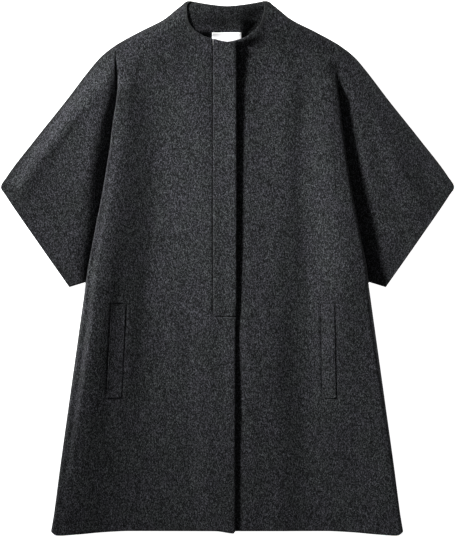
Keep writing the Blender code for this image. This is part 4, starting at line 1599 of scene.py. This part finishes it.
@dataclass
class Back:
    """The back, with both back sleeves and the back of the funnel collar cut on."""

    form: CoatForm
    flat: tuple[float, float] = (0.869, 1.027)
    area: float = 0.636
    body_columns: int = 40
    sleeve_columns: int = 24
    crowding: float = 1.3
    edge_radius: float = 0.0014
    label_corners: tuple[tuple[float, float], ...] = (
        (-0.0298, 0.9661),
        (0.0259, 0.9661),
        (0.0259, 0.9420),
        (-0.0298, 0.9420),
    )
    label_wall: float = 0.0008
    label_edge: float = 0.0004
    label_edge_segments: int = 2

    def heights(self) -> list[float]:
        """Heights of the rows, from the collar's top down.

        Returns:
            The heights, falling.
        """
        form = self.form
        stops = (
            (form.collar_top, 6),
            (form.collar_bend_up, 14),
            (form.neck_side_up, 8),
            (form.sleeve_top_up, 16),
            (form.pleat_closed_up, 18),
            (form.sleeve_tip_up, 24),
            (form.underarm_up, 6),
            (form.placket_end_up, 30),
            (form.hem_up, 0),
        )
        return row_heights(stops)

    def row(self, nominal: float, side: Side) -> Row:
        """A row from the centre back to the side, or on to the cuff.

        Args:
            nominal: The row's height where it is level.
            side: The side of the coat.

        Returns:
            The row.
        """
        form = self.form
        on_shoulder = nominal > form.sleeve_top_up + TINY
        outer = float(form.seam_half(nominal) if on_shoulder else form.side_half(nominal, side))
        share = np.arange(self.body_columns + 1) / self.body_columns
        half = outer * (1 - (1 - share) ** self.crowding)
        up = form.hem_line(half, nominal, side) + form.collar_dip(half, nominal)
        height = form.back_height(half, nominal, side)
        if form.underarm_up - TINY <= nominal and not on_shoulder:
            reach = mix(outer, form.cuff_half(nominal), to_end(self.sleeve_columns))
            half = np.concatenate((half, reach))
            up = np.concatenate((up, form.sleeve_up(reach, nominal)))
            height = np.concatenate((height, form.back_height(reach, nominal, side)))
        return Row(0, half, up, height)

    def build(self, wool: bpy.types.Material, tape: bpy.types.Material) -> list[bpy.types.Object]:
        """Makes the back and the label inside its collar.

        Args:
            wool: Finish of the back.
            tape: Finish of the label.

        Returns:
            The back and the label.
        """
        sheet = Sheet("back_cloth", self.form.cloth, self.form.length / 2)
        for side in Side:
            rows = [self.row(nominal, side) for nominal in self.heights()]
            sheet.sew(rows, side.sign, lambda row, column: True)
        sheet.merged()
        tag = sheet.copy("label_tape", self.label_wall)
        back = dressed(sheet.made(self.edge_radius), "back", wool)
        lift = self.form.cloth / 2 + self.form.seam_gap + self.label_wall / 2
        tag.cut_to(self.label_corners, self.label_edge).raised(lift)
        tape_piece = tag.made(self.label_edge, self.label_edge_segments)
        label = dressed(tape_piece, "label", tape)
        return [back, label]


@dataclass
class Front:
    """A front, with its sleeve and its side of the collar cut on, and what is sewn to it."""

    form: CoatForm
    side: Side
    flat: tuple[float, float]
    area: float
    lap_columns: int = 12
    neck_columns: int = 8
    body_columns: int = 88
    fold_columns: int = 12
    return_columns: int = 6
    sleeve_columns: int = 50
    crowding: float = 1.5
    crowding_from_up: float = 0.9300
    edge_radius: float = 0.0007
    welt_wall: float = 0.0014
    welt_edge: float = 0.0006
    placket_wall: float = 0.0036
    placket_edge: float = 0.0002
    placket_proud: float = -0.0005

    @property
    def first_body(self) -> int:
        """The column at the side of the neck."""
        return self.lap_columns + self.neck_columns

    @property
    def first_fold(self) -> int:
        """The column where the fold at the side starts."""
        return self.first_body + self.body_columns

    def heights(self) -> list[float]:
        """Heights of the rows, from the collar's top down.

        Returns:
            The heights, falling.
        """
        form = self.form
        stops = (
            (form.collar_top, 6),
            (form.collar_bend_up, 14),
            (form.neck_side_up, 7),
            (form.sleeve_top_up, 26),
            (form.pleat_closed_up, 38),
            (form.sleeve_tip_up, 40),
            (form.underarm_up, 20),
            (form.placket_end_up, 120),
            (form.hem_up, 0),
        )
        return row_heights(stops)

    def fold_steps(self, length: float, first: float, last: float) -> Array:
        """(outwards, downwards) steps of a strip of cloth that turns evenly as it goes."""
        headings = mix(first, last, (np.arange(self.fold_columns) + 0.5) / self.fold_columns)
        return length / self.fold_columns * np.stack((np.cos(headings), np.sin(headings)), axis=1)

    def pleat_section(self, up: float) -> Array:
        """The first fold, the return under the front, and the second fold.

        Args:
            up: Height above the hem.

        Returns:
            The section's points as (distance from the centre line, height), from the body's edge on.
        """
        form = self.form
        turn = math.radians(float(form.pleat_turn(up)))
        radius = float(for_side(PLEAT, "radius", self.side)(up))
        edge = float(form.fold_half(up, self.side))
        room = float(clamp((form.outline(up) - edge) / form.fold_room))
        depth = float(form.pleat_depth(up)) * room
        length = max(radius * turn, form.shortest_fold) * room
        fold = self.fold_steps(length, min(form.edge_tilt(up, self.side), turn), turn)
        unfold = self.fold_steps(length, turn, 0.0)
        step = depth / self.return_columns
        back = np.tile((step * math.cos(turn), step * math.sin(turn)), (self.return_columns, 1))
        points = np.vstack(((0.0, 0.0), np.cumsum(np.vstack((fold, back, unfold)), axis=0)))
        points[:, 1] *= -1
        outermost = points[: self.fold_columns + 1, 0].max()
        start = edge - form.cloth / 2 * room - outermost
        foot = float(form.shoulder_height(np.array(start + points[-1, 0]), np.array(up)))
        return points + (start, foot - points[-1, 1])

    def side_section(self, up: float) -> Array:
        """The turn round the side below the underarm, from the crest to the back's edge.

        Args:
            up: Height above the hem.

        Returns:
            The section's points as (distance from the centre line, height).
        """
        form = self.form
        radius = float(for_side(PLEAT, "radius", self.side)(form.underarm_up))
        roll = mix(radius, form.side_roll, ease((form.underarm_up - up) / form.side_roll_reach))
        crest = float(for_side(SIDE_CREST, "crest", self.side)(up))
        foot = form.cloth + form.side_seam_gap
        angle = math.pi / 2 * np.arange(self.fold_columns + 1) / self.fold_columns
        half = form.side_half(up, self.side) - form.cloth / 2 - roll * (1 - np.sin(angle))
        return np.stack((half, mix(foot, crest, np.cos(angle))), axis=1)

    def inner_halves(self, nominal: float, outer: float) -> Array:
        """Where a row's columns stand between the free edge and the fold at the side.

        Args:
            nominal: The row's height where it is level.
            outer: Where the fold starts, as a distance from the centre line.

        Returns:
            The columns' distances from the centre line.
        """
        form = self.form
        edge = float(form.lap_edge(nominal)) if self.side.over else form.underlap_edge
        neck = float(form.neck_side(form.neck_side_up, self.side))
        run = form.neck_side_up - self.crowding_from_up
        crowded = ease((nominal - self.crowding_from_up) / run)
        power = mix(1.0, self.crowding, crowded)
        return np.concatenate((
            mix(edge, form.placket_seam, steps(self.lap_columns)),
            mix(form.placket_seam, neck, steps(self.neck_columns)),
            mix(neck, outer, 1 - (1 - steps(self.body_columns)) ** power),
        ))

    def collar_row(self, up: float) -> Row:
        """A strip from the neck edge to the side seam of the collar.

        Args:
            up: The row's height.

        Returns:
            The row.
        """
        form = self.form
        share = np.arange(self.body_columns + 1) / self.body_columns
        inner, outer = float(form.neck_side(up, self.side)), float(form.seam_half(up))
        half = mix(inner, outer, 1 - (1 - share) ** self.crowding)
        height = form.collar_height(half, up) + form.neck_stand(half, up, self.side)
        return Row(self.first_body, half, np.full_like(half, up), height)

    def row(self, nominal: float) -> Row:
        """A row from the front's free edge to its side, or on to the cuff.

        Args:
            nominal: The row's height where it is level.

        Returns:
            The row.
        """
        form = self.form
        has_sleeve = form.underarm_up - TINY <= nominal <= form.sleeve_top_up + TINY
        if has_sleeve:
            section = self.pleat_section(nominal)
        elif nominal < form.underarm_up:
            section = self.side_section(nominal)
        else:
            outer = form.seam_half(nominal)
            section = np.array([[outer, form.collar_height(outer, np.array(nominal))]], float)
        half = self.inner_halves(nominal, section[0, 0])
        up = form.hem_line(half, nominal, self.side) + form.neck_bend(half, nominal, self.side)
        if self.side.over:
            up = up - form.lap_corner(half, nominal)
        if nominal > form.sleeve_top_up + TINY:
            height = form.collar_height(half, up) + form.lap_height(half, up, self.side)
        else:
            height = form.body_height(half, up, self.side, tuple(section[0]))
        height = height + form.neck_stand(half, up, self.side)
        section_up = form.hem_line(section[:, 0], nominal, self.side)
        if has_sleeve:
            section_up[self.fold_columns + 1 :] = form.sleeve_up(section[-1, 0], nominal)
        parts = [(half, up, height), (section[:, 0], section_up, section[:, 1])]
        if has_sleeve:
            parts.append(self.sleeve_part(nominal, section[-1, 0]))
        return Row(0, *(np.concatenate([part[k] for part in parts]) for k in range(3)))

    def sleeve_part(self, nominal: float, start: float) -> tuple[Array, Array, Array]:
        """The sleeve, from the pleat's inner fold to the cuff or the overarm.

        Args:
            nominal: The row's height where it is level.
            start: Where the pleat ends, as a distance from the centre line.

        Returns:
            Distances from the centre line, heights above the hem, and heights off the table.
        """
        form = self.form
        outer = form.cuff_half(nominal)
        half = mix(start, outer, to_end(self.sleeve_columns))
        up = form.sleeve_up(half, nominal)
        return half, up, form.sleeve_height(half, up, self.side, outer)

    def rows(self) -> list[Row]:
        """Every row of the front.

        Returns:
            The rows, from the collar down.
        """
        form = self.form
        heights = self.heights()
        collar = [up for up in heights if up > form.neck_side_up + TINY]
        return [self.collar_row(up) for up in collar] + [
            self.row(up) for up in heights[len(collar) :]
        ]

    @cached_property
    def placket_end(self) -> int:
        """The row at which the placket ends."""
        return int(np.argmin(np.abs(np.array(self.heights()) - self.form.placket_end_up)))

    def in_placket(self, row: int, column: int) -> bool:
        """The placket's cells: the lap above the placket's end, on the front that laps over."""
        return self.side.over and row < self.placket_end and column < self.lap_columns

    def part_seam(self, rows: list[Row], towards: int) -> list[Row]:
        """Opens the placket's seam by half a gap.

        Args:
            rows: The front's rows.
            towards: 1 for the placket's edge, -1 for the front's.

        Returns:
            Rows of their own, moved along the seam.
        """
        shift = towards * self.form.seam_gap / 2
        moved = [Row(r.first, r.half.copy(), r.up.copy(), r.height.copy()) for r in rows]
        for row in moved[: self.placket_end + 1]:
            if row.has(self.lap_columns):
                row.half[self.lap_columns - row.first] -= shift
        moved[self.placket_end].up[: self.lap_columns + 1] += shift
        return moved

    def build(self, wool: bpy.types.Material) -> list[bpy.types.Object]:
        """Makes the front, its placket if it has one, and its pocket welt.

        Args:
            wool: Finish of all of them.

        Returns:
            The pieces.
        """
        rows = self.rows()
        name = f"front_{self.side.word}"
        own_rows = self.part_seam(rows, -1) if self.side.over else rows
        sheet = Sheet(f"{name}_cloth", self.form.cloth, self.form.length / 2)
        sheet.sew(own_rows, self.side.sign, lambda r, c: not self.in_placket(r, c)).merged()
        front = dressed(sheet.made(self.edge_radius), name, wool)
        pieces = [front]
        if self.side.over:
            pieces.append(self.build_placket(rows, wool))
        return pieces + [self.build_welt(rows, wool)]

    def build_placket(self, rows: list[Row], wool: bpy.types.Material) -> bpy.types.Object:
        """The doubled strip that hides the fastening, set into the right front.

        Args:
            rows: The front's rows.
            wool: Its finish.

        Returns:
            The placket.
        """
        sheet = Sheet("placket_cloth", self.placket_wall, self.form.length / 2)
        sheet.sew(self.part_seam(rows, 1), self.side.sign, self.in_placket)
        sheet.raised(self.placket_proud)
        placket = dressed(sheet.made(self.placket_edge), "placket", wool)
        return placket

    def build_welt(self, rows: list[Row], wool: bpy.types.Material) -> bpy.types.Object:
        """A pocket welt, made from the front's own points and moved out.

        Args:
            rows: The front's rows.
            wool: Its finish.

        Returns:
            The welt.
        """
        node = f"welt_{self.side.word}"
        sheet = Sheet(f"{node}_cloth", self.welt_wall, self.form.length / 2)
        sheet.sew(rows, self.side.sign, lambda row, column: column < self.first_fold)
        sheet.raised(self.form.cloth / 2 + self.form.seam_gap + self.welt_wall / 2)
        sheet.cut_to(self.side.welt, self.welt_edge)
        welt = dressed(sheet.made(self.welt_edge), node, wool)
        return welt


@dataclass
class Studio:
    """A white table, one soft box beyond the right shoulder, and a camera straight above."""

    view_height: float = 1.02912
    middle: tuple[float, float] = (0.0, 0.00054)
    distance: float = 16.0
    sensor: float = 36.0
    table_size: float = 60.0
    key_place: tuple[float, float, float] = (-2.16, 2.23, 1.09)
    key_target: tuple[float, float, float] = (0.27, -0.09, 0.0)
    key_size: float = 0.50
    key_spread: float = 33.0
    key_power: float = 10.9
    ambient: float = 0.092

    def build(self) -> None:
        """Makes the table, the lights, the world and the camera."""
        self.build_table()
        self.build_light()
        self.build_world()
        self.build_camera()

    def build_table(self) -> None:
        """The surface that the coat lies on."""
        bpy.ops.object.select_all(action="DESELECT")
        bpy.ops.mesh.primitive_plane_add(size=self.table_size, location=(0.0, 0.0, 0.0))
        table = bpy.context.object
        table.name = "table"
        table.data.materials.append(TableFinish().material())

    def build_light(self) -> None:
        """A soft box with a grid, which looks past the chest so that its light falls off."""
        light = bpy.data.lights.new("soft_box", "AREA")
        light.shape = "SQUARE"
        light.size = self.key_size
        light.spread = math.radians(self.key_spread)
        light.energy = self.key_power
        lamp = bpy.data.objects.new("soft_box", light)
        bpy.context.scene.collection.objects.link(lamp)
        lamp.location = self.key_place
        aim = Vector(self.key_target) - Vector(self.key_place)
        lamp.rotation_euler = aim.to_track_quat("-Z", "Y").to_euler()

    def build_world(self) -> None:
        """An even, weak light from all round, and plain colours in the picture."""
        world = bpy.data.worlds.new("studio")
        world.use_nodes = True
        background = world.node_tree.nodes["Background"]
        background.inputs["Color"].default_value = (1.0, 1.0, 1.0, 1.0)
        background.inputs["Strength"].default_value = self.ambient
        bpy.context.scene.world = world
        bpy.context.scene.view_settings.view_transform = "Standard"
        bpy.context.scene.view_settings.look = "None"

    def build_camera(self) -> None:
        """A long lens straight above, whose picture is as tall as the coat."""
        camera = bpy.data.cameras.new("camera")
        camera.sensor_width = self.sensor
        camera.lens = self.sensor * self.distance / self.view_height
        camera.clip_end = 4 * self.distance
        eye = bpy.data.objects.new("camera", camera)
        bpy.context.scene.collection.objects.link(eye)
        eye.location = (*self.middle, self.distance)
        bpy.context.scene.camera = eye


def main() -> None:
    """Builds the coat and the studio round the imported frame."""
    logging.basicConfig(level=logging.INFO, format="%(name)s: %(message)s")
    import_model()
    form = CoatForm()
    wool = WoolFinish().material()
    tape = TapeFinish().material()
    Studio().build()
    Back(form).build(wool, tape)
    Front(form, Side.LEFT, flat=(0.55, 1.027), area=0.373).build(wool)
    Front(form, Side.RIGHT, flat=(0.54, 1.027), area=0.339).build(wool)


if __name__ == "__main__":
    main()
